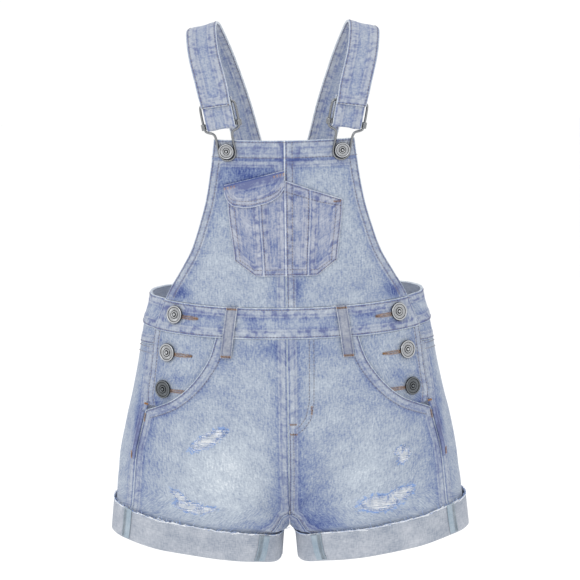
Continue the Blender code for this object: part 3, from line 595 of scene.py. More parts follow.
def wrong_side(name, dark, pale):
    """The twill's inside: mostly white weft, so greyer and paler, with a fine even weave."""
    material, tree = new_material(name)
    weave = add(tree, "ShaderNodeUVMap", uv_map="weave").outputs["UV"]
    cloud = add(tree, "ShaderNodeTexNoise", {"Vector": weave, "Scale": 50.0, "Detail": 3.0})
    both = add(tree, "ShaderNodeMath", {0: grain(tree, weave, 850, 210), 1: grain(tree, weave, 190, 900)},
               operation="ADD")
    tone = add(tree, "ShaderNodeMath", {0: both.outputs[0], 1: 0.7, 2: cloud.outputs["Fac"]},
               operation="MULTIPLY_ADD")
    spread = add(tree, "ShaderNodeMapRange", {"Value": tone.outputs[0], "From Min": 0.9, "From Max": 1.5})
    colour = add(tree, "ShaderNodeValToRGB", {"Fac": spread.outputs[0]})
    colour.color_ramp.elements[0].color = linear(dark)
    colour.color_ramp.elements[1].color = linear(pale)
    bump = add(tree, "ShaderNodeBump", {"Height": both.outputs[0], "Distance": 0.0003, "Strength": 0.5})
    shown(tree, add(tree, "ShaderNodeBsdfPrincipled",
                    {"Base Color": colour.outputs["Color"], "Roughness": 0.92,
                     "Specular IOR Level": 0.2, "Normal": bump.outputs[0]}))
    return material


twill = denim("light washed indigo twill", ("3C4D86", "707FA2", "9AA4B4", "B7C0CA", "DADFE4"))
twill_inside = wrong_side("wrong side of the twill", "9FA9BD", "C5CAD4")


# Relief of a piece: how a pressed pleat rises, how far a finished edge rolls in and is rounded
PLEAT_FOLD_RISE = 0.0006
PLEAT_FOLD_WIDTH = 0.0012
ROLL_WIDTH = 0.0007
TURNING_EASE = 0.001
EDGE_ROUNDING = 0.0003
# A pleat's fold takes the seams' pale line, worn white and a painted highlight, and their painted shade, like
# an edge a little further off
PLEAT_WEAR_AND_SHADE = 1.25
# Each piece starts elsewhere on the weave, so that no two show the same streaks
WEAVE_SHIFT = 0.211


def link(name, mesh):
    obj = bpy.data.objects.new(name, mesh)
    bpy.context.scene.collection.objects.link(obj)
    return obj


def cloth(name, nodes, place, size, wall=DENIM, step=0.0019, edges=(), folds=(), grain=0.5,
          face=None, back=None, around=False):
    """A cloth piece as a fine grid with its wall, which stands for its CAD node.

    Edges are the lines of its finished edges and folds the lines of its pleats. Grain is
    where across the piece the straight grain runs.
    """
    across, up = spaced(size[0], step), spaced(size[1], step)
    if around:
        across = np.linspace(0, 1, int(size[0] / step))
    points = place(*np.meshgrid(across, up))
    if around:
        points = points[:, :-1]
    wrap = [points[:, -1:], points, points[:, :1]] if around else [points]
    wide = np.concatenate(wrap, axis=1)
    run = np.gradient(wide, axis=1)
    rise = np.gradient(wide, axis=0)
    normal = np.cross(run, rise)
    normal /= np.linalg.norm(normal, axis=-1, keepdims=True)
    normal = normal[:, 1:-1] if around else normal
    from_edge = distance_to(points, edges)
    from_fold = distance_to(points, folds)
    relief = TURNING_RISE * (1 - smooth((from_edge - TURNING + TURNING_EASE) / (2 * TURNING_EASE)))
    relief -= EDGE_ROLL * np.exp(-(from_edge / ROLL_WIDTH) ** 2)
    relief += PLEAT_FOLD_RISE * np.exp(-(from_fold / PLEAT_FOLD_WIDTH) ** 2)
    points = points + normal * relief[..., None]

    rows, columns = points.shape[:2]
    index = np.arange(rows * columns).reshape(rows, columns)
    right = np.roll(index, -1, axis=1)
    last = columns if around else columns - 1
    faces = np.stack((index[:-1, :last], right[:-1, :last], right[1:, :last], index[1:, :last]), axis=-1)
    mesh = bpy.data.meshes.new(name)
    mesh.from_pydata(points.reshape(-1, 3).tolist(), [], faces.reshape(-1, 4).tolist())

    # The weave map, in metres along the cloth
    lengths = np.linalg.norm(np.diff(points, axis=1), axis=-1)
    width = np.concatenate((np.zeros((rows, 1)), np.cumsum(lengths, axis=1)), axis=1)
    shift = np.array([np.interp(grain, across[:columns], row) for row in width])
    heights = np.linalg.norm(np.diff(points, axis=0), axis=-1)
    height = np.concatenate((np.zeros((1, columns)), np.cumsum(heights, axis=0)), axis=0)
    offset = WEAVE_SHIFT * len(bpy.data.objects)
    weave = np.stack((width - shift[:, None] + offset, height + offset), axis=-1).reshape(-1, 2)
    corner = np.empty(len(mesh.loops), dtype=int)
    mesh.loops.foreach_get("vertex_index", corner)
    mesh.uv_layers.new(name="weave").data.foreach_set("uv", weave[corner].ravel())
    seam_mm = np.minimum(from_edge, PLEAT_WEAR_AND_SHADE * from_fold) * 1000
    # The worn tone also holds the painted shade of the darker places
    values = {"worn": wear_and_shade(points), "ripped": ripped(points), "seam_mm": seam_mm}
    for key, value in values.items():
        mesh.attributes.new(key, "FLOAT", "POINT").data.foreach_set("value", value.ravel())
    mesh.shade_smooth()
    mesh.materials.append(face or twill)
    mesh.materials.append(back or twill_inside)
    obj = link(name, mesh)
    shell = obj.modifiers.new("wall", "SOLIDIFY")
    shell.thickness = wall
    shell.offset = -1
    shell.material_offset = 1
    shell.material_offset_rim = 0
    rounding = obj.modifiers.new("edge", "BEVEL")
    rounding.width = EDGE_ROUNDING
    rounding.segments = 1
    rounding.limit_method = "ANGLE"
    rounding.angle_limit = math.radians(60)
    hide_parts(*nodes)
    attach(obj, "root")
    return obj


def line(points, count=60):
    """An even row of places along a line given by a few (turn, level) pairs."""
    points = np.array(points, float)
    scaled = points * (MEAN_HALF_GIRTH, 1)
    length = np.concatenate(([0], np.cumsum(np.linalg.norm(np.diff(scaled, axis=0), axis=1))))
    at = np.linspace(0, length[-1], count)
    return np.stack([np.interp(at, length, points[:, k]) for k in (0, 1)], axis=1)


def seam(table, top, bottom, count=60):
    """A seam of a table of levels and turns, from one level to another."""
    level = np.linspace(top, bottom, count)
    return np.stack((along(table, 1, level), level), axis=1)


def beside(places, distance):
    """The line moved sideways over the cloth: to its left as it runs, for the right side."""
    turn, level = places[:, 0], places[:, 1]
    tiny = 0.0005
    reach = bare_body(turn + tiny, level) - bare_body(turn, level)
    reach = np.linalg.norm(reach, axis=-1) / tiny
    run = np.gradient(places * np.stack((reach, np.ones_like(reach)), axis=1), axis=0)
    run /= np.linalg.norm(run, axis=1, keepdims=True)
    return places + np.stack((-run[:, 1] / reach, run[:, 0]), axis=1) * distance


def laid(side, places, out=0.0):
    """A line of places as points on the cloth."""
    return body(side, places[:, 0], places[:, 1], out)


# Topstitching, as Geometry Nodes: spindle-shaped stitches along a line, thread 0.45 mm thick
STITCH_PITCH = 0.0030
STITCH_LENGTH = 0.0025
STITCH_THICKNESS = 0.00052


def sewing_tree(name, sizes):
    """A Geometry Nodes tree with its sizes as inputs: the tree, its inputs and its path."""
    tree = bpy.data.node_groups.new(name, "GeometryNodeTree")
    tree.interface.new_socket("Lines", in_out="INPUT", socket_type="NodeSocketGeometry")
    for size in sizes:
        tree.interface.new_socket(size, in_out="INPUT", socket_type="NodeSocketFloat")
    tree.interface.new_socket("Thread", in_out="INPUT", socket_type="NodeSocketMaterial")
    tree.interface.new_socket("Threads", in_out="OUTPUT", socket_type="NodeSocketGeometry")
    given = add(tree, "NodeGroupInput").outputs
    return tree, given, add(tree, "GeometryNodeMeshToCurve", {"Mesh": given["Lines"]})


def end_tree(tree, threads, given):
    """End a tree with real, smooth threads in their material."""
    real = add(tree, "GeometryNodeRealizeInstances", {"Geometry": threads.outputs[0]})
    soft = add(tree, "GeometryNodeSetShadeSmooth", {"Geometry": real.outputs[0]})
    dyed = add(tree, "GeometryNodeSetMaterial", {"Geometry": soft.outputs[0], "Material": given["Thread"]})
    add(tree, "NodeGroupOutput", {"Threads": dyed.outputs[0]})


topstitching, given, path = sewing_tree("topstitching", ("Pitch", "Length", "Thickness"))
spots = add(topstitching, "GeometryNodeCurveToPoints",
            {"Curve": path.outputs[0], "Length": given["Pitch"]}, mode="LENGTH")
spindle = add(topstitching, "GeometryNodeMeshUVSphere", {"Segments": 6, "Rings": 4, "Radius": 0.5})
shape = add(topstitching, "ShaderNodeCombineXYZ",
            {"X": given["Thickness"], "Y": given["Thickness"], "Z": given["Length"]})
stitch = add(topstitching, "GeometryNodeTransform",
             {"Geometry": spindle.outputs[0], "Scale": shape.outputs[0]})
sewn = add(topstitching, "GeometryNodeInstanceOnPoints",
           {"Points": spots.outputs["Points"], "Instance": stitch.outputs[0],
            "Rotation": spots.outputs["Rotation"]})
end_tree(topstitching, sewn, given)

# A continuous thread, as Geometry Nodes: a fine tube along each line
single_thread, given, path = sewing_tree("single thread", ("Thickness",))
radius = add(single_thread, "ShaderNodeMath", {0: given["Thickness"], 1: 0.5}, operation="MULTIPLY")
ring = add(single_thread, "GeometryNodeCurvePrimitiveCircle", {"Resolution": 4, "Radius": radius.outputs[0]})
strand = add(single_thread, "GeometryNodeCurveToMesh",
             {"Curve": path.outputs[0], "Profile Curve": ring.outputs[0], "Fill Caps": True})
end_tree(single_thread, strand, given)


def sew(name, tree, lines, values, thread):
    """Run a Geometry Nodes tree along some lines and keep the result as a plain mesh."""
    verts = np.concatenate(lines).tolist()
    edges, start = [], 0
    for points in lines:
        edges += [(start + k, start + k + 1) for k in range(len(points) - 1)]
        start += len(points)
    guide = bpy.data.meshes.new("guide")
    guide.from_pydata(verts, edges, [])
    holder = link("guide", guide)
    modifier = holder.modifiers.new("sewing", "NODES")
    modifier.node_group = tree
    for item in tree.interface.items_tree:
        if item.in_out == "INPUT" and item.name in values:
            modifier[item.identifier] = values[item.name]
        if item.in_out == "INPUT" and item.name == "Thread":
            modifier[item.identifier] = thread
    depsgraph = bpy.context.evaluated_depsgraph_get()
    mesh = bpy.data.meshes.new_from_object(holder.evaluated_get(depsgraph), depsgraph=depsgraph)
    bpy.data.objects.remove(holder)
    mesh.name = name
    obj = link(name, mesh)
    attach(obj, "root")
    return obj


def topstitch(name, lines, thread, pitch=STITCH_PITCH):
    values = {"Pitch": pitch, "Length": STITCH_LENGTH * pitch / STITCH_PITCH, "Thickness": STITCH_THICKNESS}
    return sew(name, topstitching, lines, values, thread)


def spun(name, dark, pale):
    """Cotton-wrapped sewing thread, uneven where it is worn."""
    material, tree = new_material(name)
    place = add(tree, "ShaderNodeTexCoord")
    noise = add(tree, "ShaderNodeTexNoise",
                {"Vector": place.outputs["Object"], "Scale": 260.0, "Detail": 2.0})
    colour = add(tree, "ShaderNodeValToRGB", {"Fac": noise.outputs["Fac"]})
    colour.color_ramp.elements[0].position = 0.36
    colour.color_ramp.elements[0].color = linear(dark)
    colour.color_ramp.elements[1].position = 0.64
    colour.color_ramp.elements[1].color = linear(pale)
    twist = add(tree, "ShaderNodeTexNoise", {"Vector": place.outputs["Object"], "Scale": 3000.0})
    bump = add(tree, "ShaderNodeBump", {"Height": twist.outputs["Fac"], "Distance": 0.0001, "Strength": 0.6})
    shown(tree, add(tree, "ShaderNodeBsdfPrincipled",
                    {"Base Color": colour.outputs["Color"], "Roughness": 0.7, "Sheen Weight": 0.2,
                     "Normal": bump.outputs[0]}))
    return material


faded_thread = spun("faded taupe core-spun thread", "57505C", "857B7E")
tan_thread = spun("tan core-spun thread", "A5744A", "CC9C6C")
STITCH_ABOVE = TURNING_RISE + 0.0001
SCOOP_OUTER_ROW = STITCH_OUT + 0.0028
CENTRE_OUTER_ROW = STITCH_OUT - 0.0020
CENTRE_ROWS_TOP = -0.3700
FLY_ROWS_APART = 0.0042
FLY_COUNT = 60
# Outer row of stitching of the mock fly. Columns: distance from the centre, level
FLY = (
    (0.0243, -0.2838),
    (0.0240, -0.3250),
    (0.0236, -0.3430),
    (0.0205, -0.3570),
    (0.0150, -0.3650),
    (0.0090, -0.3695),
    (0.0018, -0.3720),
)


def turn_at(x, level):
    """The turn that lies a distance from the centre front, above the legs."""
    return np.arcsin(np.minimum(np.abs(x) / along(SECTIONS, 1, level), 1.0)) / math.pi


def front(x, level, out=0.0):
    """Points across the front, by their distance from the centre."""
    x = np.asarray(x, float)
    right = body(1, turn_at(x, level), level, out)
    return right * np.stack((np.where(x < 0, -1.0, 1.0), np.ones_like(right[..., 0]),
                             np.ones_like(right[..., 0])), axis=-1)


for side, word in ((-1, "left"), (1, "right")):
    def front_leg(across, up, side=side):
        level = mixed(HEM + SEAM_GAP, WAIST_BOTTOM - SEAM_GAP, up)
        start = inseam(level) + np.where(level < CROSSING, 5 * TURN_GAP, 0)
        end = np.where(level >= TACK, along(SCOOP, 1, level), along(SIDE_SEAM, 1, level) - TURN_GAP)
        turn = mixed(start, end, from_side(side, across))
        return clear_of_centre(body(side, turn, level), side)

    scoop = seam(SCOOP, WAIST_BOTTOM, TACK)
    centre = line(((0, WAIST_BOTTOM), (0, CROSSING)))
    inner = seam(INSEAM, CROSSING, CUFF_TOP)
    outer = seam(SIDE_SEAM, TACK, CUFF_TOP)
    cloth(f"front_leg_{word}", [f"front_panel_{word}"], front_leg, (0.150, 0.2085),
          edges=[laid(side, places) for places in (scoop, centre, inner, outer)],
          grain=0.0 if side > 0 else 1.0)
    rows = [beside(scoop, -STITCH_IN), beside(scoop, -SCOOP_OUTER_ROW), beside(inner, STITCH_IN)]
    if side > 0:
        rows += [beside(line(((0, CENTRE_ROWS_TOP), (0, CROSSING + 0.002))), distance)
                 for distance in (STITCH_IN, CENTRE_OUTER_ROW)]
    rows = [laid(side, places, STITCH_ABOVE) for places in rows]
    if side > 0:
        fly = np.array(FLY)
        at, known = np.linspace(0, 1, FLY_COUNT), np.linspace(0, 1, len(fly))
        for inset in (0.0, FLY_ROWS_APART):
            x = np.interp(at, known, fly[:, 0] - inset)
            level = np.interp(at, known, fly[:, 1] + inset * 0.6)
            rows.append(front(np.maximum(x, 0.0010), level, 0.0002))
    topstitch(f"front_leg_stitching_{word}", rows, faded_thread)


# Back legs
# Each is one cut piece of the same twill, faded on the seat. Its inner edge runs on under
# the crotch to the front, so the inseams cross below the fly.
OPENING_STEP = 0.0140
STEP_EASE = 0.020
OUT_OF_OPENING = 0.055
TACK_ROUND = 0.004
TACK_EASE = 0.012
SEAT_TOP = -0.330
YOKE_FADE_START = -0.352
YOKE_FADE_SPAN = 0.022
GUSSET_TIP = -0.4405
# Bottom of the back yoke. Columns: turn, level
YOKE = ((0.360, -0.2955), (0.455, -0.2980), (0.700, -0.3120), (1.000, -0.3300))


def opening(level):
    """Front edge of the back leg, which steps back at the buttoned side opening."""
    return along(SIDE_SEAM, 1, level) + TURN_GAP + OPENING_STEP * smooth((level - TACK) / STEP_EASE)


def back_tuck(turn, level):
    """How far the back's front edge lies below the hip piece that buttons over it."""
    near = 1 - smooth((turn - opening(level)) / OUT_OF_OPENING)
    return -(DENIM + LAYER_GAP) * near * smooth((level - TACK + TACK_ROUND) / TACK_EASE)


def below_yoke(level, turn):
    """Move the upper rows up to the yoke's slanted seam."""
    rise = along(YOKE, 1, turn) - SEAM_GAP - SEAT_TOP
    return level + rise * smooth((level - YOKE_FADE_START) / YOKE_FADE_SPAN)


for side, word in ((-1, "left"), (1, "right")):
    def seat(across, up, side=side):
        row = mixed(HEM + SEAM_GAP, SEAT_TOP, up)
        turn = mixed(opening(below_yoke(row, YOKE[0][0])), 1, from_side(side, across))
        level = below_yoke(row, turn)
        return clear_of_centre(body(side, turn, level, back_tuck(turn, level)), side)

    def gusset(across, up, side=side):
        level = mixed(HEM + SEAM_GAP, GUSSET_TIP, up)
        turn = mixed(0, np.maximum(inseam(level) - TURN_GAP, 0), from_side(side, across))
        return clear_of_centre(body(side, turn, level), side)

    level = np.linspace(-0.300, CUFF_TOP, 80)
    outer = np.stack((opening(level), level), axis=1)
    turn = np.linspace(0.38, 1, 60)
    top = np.stack((turn, along(YOKE, 1, turn) - SEAM_GAP), axis=1)
    centre = line(((1, SEAT_TOP), (1, CROSSING)))
    cloth(f"back_leg_{word}", [f"back_panel_{word}"], seat, (0.235, 0.175), step=0.0024,
          edges=[laid(side, places) for places in (outer, centre)], grain=1.0 if side > 0 else 0.0)
    inner = seam(INSEAM, GUSSET_TIP, CUFF_TOP)
    cloth(f"crotch_gusset_{word}", [f"back_panel_{word}"], gusset, (0.040, 0.050),
          edges=[laid(side, inner)])
    rows = [laid(side, beside(top, -distance), STITCH_ABOVE) for distance in (STITCH_IN, STITCH_OUT)]
    if side > 0:
        rows += [laid(side, beside(centre, -distance), STITCH_ABOVE) for distance in (STITCH_IN, STITCH_OUT)]
    topstitch(f"back_leg_stitching_{word}", rows, faded_thread)


# Back yokes
# Shaped strips of twill between the back waistband and the legs, which give the seat its
# fullness. Each is lapped over its leg and double stitched.
for side, word in ((-1, "left"), (1, "right")):
    def yoke(across, up, side=side):
        turn = mixed(opening(WAIST_BOTTOM), 1, from_side(side, across))
        level = mixed(along(YOKE, 1, turn), WAIST_BOTTOM - SEAM_GAP, up)
        return clear_of_centre(body(side, turn, level, back_tuck(turn, level)), side)

    turn = np.linspace(opening(WAIST_BOTTOM), 1, 60)
    foot = np.stack((turn, along(YOKE, 1, turn)), axis=1)
    cloth(f"back_yoke_piece_{word}", [f"back_yoke_{word}"], yoke, (0.215, 0.030),
          edges=[laid(side, foot, back_tuck(foot[:, 0], foot[:, 1]))])
    inner = beside(foot, STITCH_IN)
    row = laid(side, inner, STITCH_ABOVE + back_tuck(inner[:, 0], inner[:, 1]))
    topstitch(f"back_yoke_stitching_{word}", [row], faded_thread)


# Side openings
# The hip piece fills the pocket mouth and carries two buttonholes on its hemmed edge. It
# buttons over the underlap, and a narrow folded welt finishes the seam below the opening.
HIP_FOOT = TACK + 0.0050
HIP_UNDER_FRONT = 0.024
HIP_EDGE_AT_FOOT = -0.003
HIP_EDGE_RISE = 0.009
UNDER_SCOOP = 0.012
OUT_OF_SCOOP = 0.075
UNDERLAP_START = 0.262
WELT_FOOT = -0.4050
WELT_TOP = TACK - 0.0020
WELT_START = 0.002
WELT_END = 0.018
HIP_HEM = 0.0075
welt_twill = denim("unworn welt twill", ("2F3E78", "4A5B90", "6A7AA6", "8E9BBA", "C2CBD9"))


def tucked(turn, level):
    """How far the hip piece lies below the front, which covers it at the pocket mouth."""
    from_edge = turn - along(SCOOP, 1, level)
    return -(DENIM + LAYER_GAP) * (1 - smooth((from_edge - UNDER_SCOOP) / OUT_OF_SCOOP))


def hip_edge(level):
    return along(SIDE_SEAM, 1, level) + HIP_EDGE_AT_FOOT + HIP_EDGE_RISE * smooth((level - TACK) / STEP_EASE)


for side, word in ((-1, "left"), (1, "right")):
    def hip(across, up, side=side):
        level = mixed(HIP_FOOT, WAIST_BOTTOM - SEAM_GAP, up)
        turn = mixed(along(SCOOP, 1, level) - HIP_UNDER_FRONT, hip_edge(level), from_side(side, across))
        return body(side, turn, level, tucked(turn, level))

    def placket(across, up, side=side):
        level = mixed(HIP_FOOT, WAIST_BOTTOM - SEAM_GAP, up)
        turn = mixed(UNDERLAP_START, opening(level) - 3 * TURN_GAP, from_side(side, across))
        return body(side, turn, level, tucked(turn, level) - DENIM - LAYER_GAP)

    def welt(across, up, side=side):
        level = mixed(WELT_FOOT, WELT_TOP, up)
        turn = opening(level) + mixed(WELT_START, WELT_END, from_side(side, across))
        return body(side, turn, level, DENIM + SEAM_GAP)

    level = np.linspace(WAIST_BOTTOM, HIP_FOOT, 60)
    edge = np.stack((hip_edge(level), level), axis=1)
    cloth(f"hip_piece_cloth_{word}", [f"hip_piece_{word}"], hip, (0.075, 0.069),
          edges=[laid(side, edge, tucked(edge[:, 0], edge[:, 1]))], grain=0.5)
    cloth(f"underlap_{word}", [f"side_placket_{word}"], placket, (0.045, 0.069))
    level = np.linspace(WELT_TOP, WELT_FOOT, 40)
    sides = [np.stack((opening(level) + at, level), axis=1) for at in (WELT_START, WELT_END)]
    cloth(f"side_welt_cloth_{word}", [f"side_welt_{word}"], welt, (0.007, 0.048),
          edges=[laid(side, sides[1], DENIM + SEAM_GAP)], step=0.0012, face=welt_twill)
    rows = []
    for inset in (STITCH_IN, HIP_HEM):
        inner = beside(edge, -inset)
        rows.append(laid(side, inner, STITCH_ABOVE + tucked(inner[:, 0], inner[:, 1])))
    topstitch(f"hip_piece_stitching_{word}", rows, faded_thread)


# Waistbands
# Two layers of twill with an uneven, roped surface, stitched along every edge. The front
# one buttons over the ends of the back one.
BAND = 0.0024
FRONT_BAND_OUT = 0.0009
FRONT_BAND_FOOT = 0.3625
FRONT_BAND_TOP = 0.3415
BAND_UNCOVERED = 0.368
BAND_EASE = 0.070


def both_sides(turn, level, out=0.0):
    """Points on either side of the centre front: a turn below 0 is on the viewer's left."""
    points = body(1, np.abs(turn), level, out)
    points[..., 0] *= np.where(turn < 0, -1.0, 1.0)
    return points


def front_band(across, up):
    end = mixed(FRONT_BAND_FOOT, FRONT_BAND_TOP, up)
    return both_sides(mixed(-end, end, across), mixed(WAIST_BOTTOM, WAIST_TOP - SEAM_GAP, up), FRONT_BAND_OUT)


def back_band(across, up):
    turn = mixed(1, UNDERLAP_START, np.abs(2 * across - 1))
    level = mixed(WAIST_BOTTOM, WAIST_TOP - SEAM_GAP, up)
    covered = FRONT_BAND_OUT - BAND - LAYER_GAP
    out = mixed(covered, FRONT_BAND_OUT, smooth((turn - BAND_UNCOVERED) / BAND_EASE))
    return both_sides(np.where(across < 0.5, turn, -turn), level, out)


def across_band(place, up, start, end, count=160, out=0.0):
    """A line across a band at one height, moved out."""
    part = np.linspace(start, end, count)
    points = place(part, np.full(count, up))
    if out:
        away = np.cross(np.gradient(points, axis=0), (0, 0, 1))
        points = points + away / np.linalg.norm(away, axis=-1, keepdims=True) * out
    return points


band_twill = denim("double waistband twill", ("42528A", "717FA3", "99A3B4", "B0B9C5", "D2D9E0"),
                   mottle=0.95, rope=0.38)
for name, node, place, length, start in (
        ("front_waistband", "waistband_front", front_band, 0.266, 0.0),
        ("back_waistband", "waistband_back", back_band, 0.466, 0.10)):
    part = np.linspace(0, 1, 30)
    ends = [place(np.full(30, at), part) for at in (0.0, 1.0)]
    outline = [across_band(place, 0, 0, 1), across_band(place, 1, 0, 1)] + ends
    cloth(name, [node], place, (length, 0.028), wall=BAND, step=0.0016, edges=outline,
          face=band_twill)
    rows = [across_band(place, up, start, 1 - start, out=STITCH_ABOVE) for up in (0.065, 0.935)]
    if start == 0.0:
        rows += [place(np.full(30, at), mixed(0.06, 0.94, part)) * (1.002, 1.004, 1) for at in (0.006, 0.994)]
    topstitch(f"{name}_stitching", rows, faded_thread)


# Bibs
# The front bib has a centre seam, a faced top and narrow stitched hems at the armholes. The
# back bib narrows to where the straps are sewn on.
FRONT_BIB = (
    (BIB_TOP, 0.0625),
    (-0.1300, 0.0665),
    (-0.1570, 0.0715),
    (-0.1790, 0.0777),
    (-0.2030, 0.0858),
    (-0.2270, 0.0984),
    (-0.2395, 0.1054),
    (WAIST_TOP, 0.1120),
)
BACK_BIB_TOP = -0.1650
BACK_BIB = (
    (BACK_BIB_TOP, 0.0320),
    (-0.1850, 0.0390),
    (-0.2050, 0.0520),
    (-0.2250, 0.0720),
    (-0.2400, 0.0920),
    (WAIST_TOP, 0.1080),
)
FACING_FOOT = -0.1172


def across_front(places, out=0.0):
    """Points from pairs of distance from the centre and level."""
    places = np.asarray(places, float)
    return front(places[:, 0], places[:, 1], out)


def even(pairs, count=60):
    """An even row of places along a line given by a few pairs of distance and level."""
    pairs = np.array(pairs, float)
    length = np.concatenate(([0], np.cumsum(np.linalg.norm(np.diff(pairs, axis=0), axis=1))))
    at = np.linspace(0, length[-1], count)
    return np.stack([np.interp(at, length, pairs[:, k]) for k in (0, 1)], axis=1)


for side, word in ((-1, "left"), (1, "right")):
    def bib(across, up, side=side):
        level = mixed(WAIST_TOP, BIB_TOP, up)
        x = along(FRONT_BIB, 1, level) * from_side(side, across)
        return clear_of_centre(body(side, turn_at(x, level), level), side)

    level = np.linspace(BIB_TOP, WAIST_TOP, 80)
    armhole = np.stack((side * along(FRONT_BIB, 1, level), level), axis=1)
    top = even(((0, BIB_TOP), (side * 0.0625, BIB_TOP)))
    middle = even(((0.0, BIB_TOP), (0.0, WAIST_TOP)), 90)
    facing = even(((side * 0.001, FACING_FOOT), (side * 0.0638, FACING_FOOT)))
    cloth(f"bib_{word}", [f"front_bib_{word}"], bib, (0.090, 0.153), step=0.0018,
          edges=[across_front(armhole), across_front(top), across_front(middle)],
          folds=[across_front(facing)], grain=0.0 if side > 0 else 1.0)
    rows = [armhole[2:-2] - (side * inset, 0) for inset in (STITCH_IN, STITCH_OUT)]
    rows += [top[1:-2] - (0, STITCH_IN), facing + (0, STITCH_IN)]
    if side > 0:
        rows += [middle[2:-1] + (inset, 0) for inset in (STITCH_IN, STITCH_OUT)]
    topstitch(f"bib_stitching_{word}", [across_front(row, STITCH_ABOVE) for row in rows], faded_thread)


def back(x, level, out=0.0):
    """Points across the back, by their distance from the centre."""
    x = np.asarray(x, float)
    points = body(1, 1 - turn_at(x, level), level, out)
    points[..., 0] *= np.where(x < 0, -1.0, 1.0)
    return points


def bib_at_back(across, up):
    level = mixed(WAIST_TOP, BACK_BIB_TOP, up)
    return back(along(BACK_BIB, 1, level) * (1 - 2 * across), level)


level = np.linspace(BACK_BIB_TOP, WAIST_TOP, 80)
sides = [np.stack((side * along(BACK_BIB, 1, level), level), axis=1) for side in (-1, 1)]
top = even(((-0.032, BACK_BIB_TOP), (0.032, BACK_BIB_TOP)))
lines = [back(row[:, 0], row[:, 1]) for row in (*sides, top)]
cloth("bib_at_back", ["back_bib"], bib_at_back, (0.120, 0.088), edges=lines)
rows = [row + (-side * inset, 0) for row, side in zip(sides, (-1, 1)) for inset in (STITCH_IN, STITCH_OUT)]
rows += [top - (0, inset) for inset in (STITCH_IN, STITCH_OUT)]
rows = [back(row[:, 0], row[:, 1], STITCH_ABOVE) for row in rows]
topstitch("back_bib_stitching", rows, faded_thread)


# Chest pocket and flap
# A patch pocket with a peaked mouth, its lower corners cut off and two pressed tucks. The
# flap is sewn to the bib over its left half, and is only for show.
POCKET_OUT = 0.0015
POCKET_CLOTH = 0.0012
POCKET_TOP_HALF = 0.0512
POCKET_FOOT_HALF = 0.0455
POCKET_PEAK = -0.1356
POCKET_SHOULDER = -0.1545
POCKET_CORNER = -0.2095
POCKET_FOOT = -0.2235
POCKET_CUT = 0.62
PLEAT = 0.44
PLEAT_WIDTH = 0.10
PLEAT_RISE = 0.0006


def pocket_place(u, up):
    """Where a share across the pocket, from -1 to 1, and up it lies: x and level."""
    top = mixed(POCKET_PEAK, POCKET_SHOULDER, np.abs(u))
    foot = mixed(POCKET_FOOT, POCKET_CORNER, np.maximum(np.abs(u) - POCKET_CUT, 0) / (1 - POCKET_CUT))
    level = mixed(foot, top, up)
    narrow = smooth((level - POCKET_FOOT) / (POCKET_SHOULDER - POCKET_FOOT))
    return u * mixed(POCKET_FOOT_HALF, POCKET_TOP_HALF, narrow), level


def on_pocket(u, up, out=POCKET_OUT + STITCH_ABOVE):
    x, level = pocket_place(np.asarray(u, float), np.asarray(up, float))
    return front(x, level, out + PLEAT_RISE * np.exp(-((np.abs(u) - PLEAT) / PLEAT_WIDTH) ** 2))


def pocket(across, up):
    return on_pocket(2 * across - 1, up, POCKET_OUT)


across = np.linspace(-1, 1, 90)
full, none = np.ones(90), np.zeros(90)
up = np.linspace(0, 1, 90)
outline = [on_pocket(across, full, POCKET_OUT), on_pocket(across, none, POCKET_OUT),
           on_pocket(-full, up, POCKET_OUT), on_pocket(full, up, POCKET_OUT)]
tucks = [on_pocket(full * at, up, POCKET_OUT) for at in (-PLEAT, PLEAT, 0.0)]
pocket_twill = denim("pocket twill", ("3F4F88", "6F7CA0", "999FB1", "B0B6C3", "D3D8DF"),
                     mottle=0.80, rope=0.34)
cloth("pocket_on_chest", ["chest_pocket"], pocket, (0.102, 0.080), wall=POCKET_CLOTH,
      step=0.0012, edges=outline, folds=tucks, face=pocket_twill)
rows = []
for inset in (STITCH_IN, STITCH_OUT - 0.0010):
    u, v = 1 - inset / 0.050, inset / 0.080
    side_up = np.linspace(v, 1 - v, 60)
    rows += [on_pocket(np.full(60, -u), side_up), on_pocket(np.full(60, u), side_up)]
    rows += [on_pocket(across * u, np.full(90, v))]
rows += [on_pocket(across * 0.96, np.full(90, 0.885)), on_pocket(across * 0.97, np.full(90, 0.978))]
rows += [on_pocket(np.full(90, at), up * 0.96 + 0.02) for at in (0.035, 0.125, PLEAT - 0.035, -PLEAT + 0.035)]
topstitch("pocket_stitching", rows, faded_thread, pitch=0.0026)

FLAP_EDGE = (
    (0.0004, -0.1430),
    (0.0061, -0.1503),
    (0.0172, -0.1563),
    (0.0355, -0.1603),
    (0.0450, -0.1594),
    (0.0512, -0.1545),
    (0.0538, -0.1475),
)
FLAP_INNER = 0.0004
FLAP_OUTER = 0.0538
FLAP_TOP_INNER = -0.1262
FLAP_TOP_OUTER = -0.1405
FLAP_OUT = 0.0035
FLAP_TOP_OUT = 0.0018
FLAP_FOLD_START = 0.011
FLAP_FOLD = 0.009


def flap_top(x):
    return mixed(FLAP_TOP_INNER, FLAP_TOP_OUTER, np.abs(x) / FLAP_OUTER)


def on_flap(x, level):
    """Points on the flap, which stands off the bib less towards its sewn top."""
    near_top = smooth((level - flap_top(x) + FLAP_FOLD_START) / FLAP_FOLD)
    return front(x, level, mixed(FLAP_OUT, FLAP_TOP_OUT, near_top))


def flap(across, up):
    x = -mixed(FLAP_OUTER, FLAP_INNER, across)
    return on_flap(x, mixed(along(FLAP_EDGE, 1, np.abs(x)), flap_top(x), up))


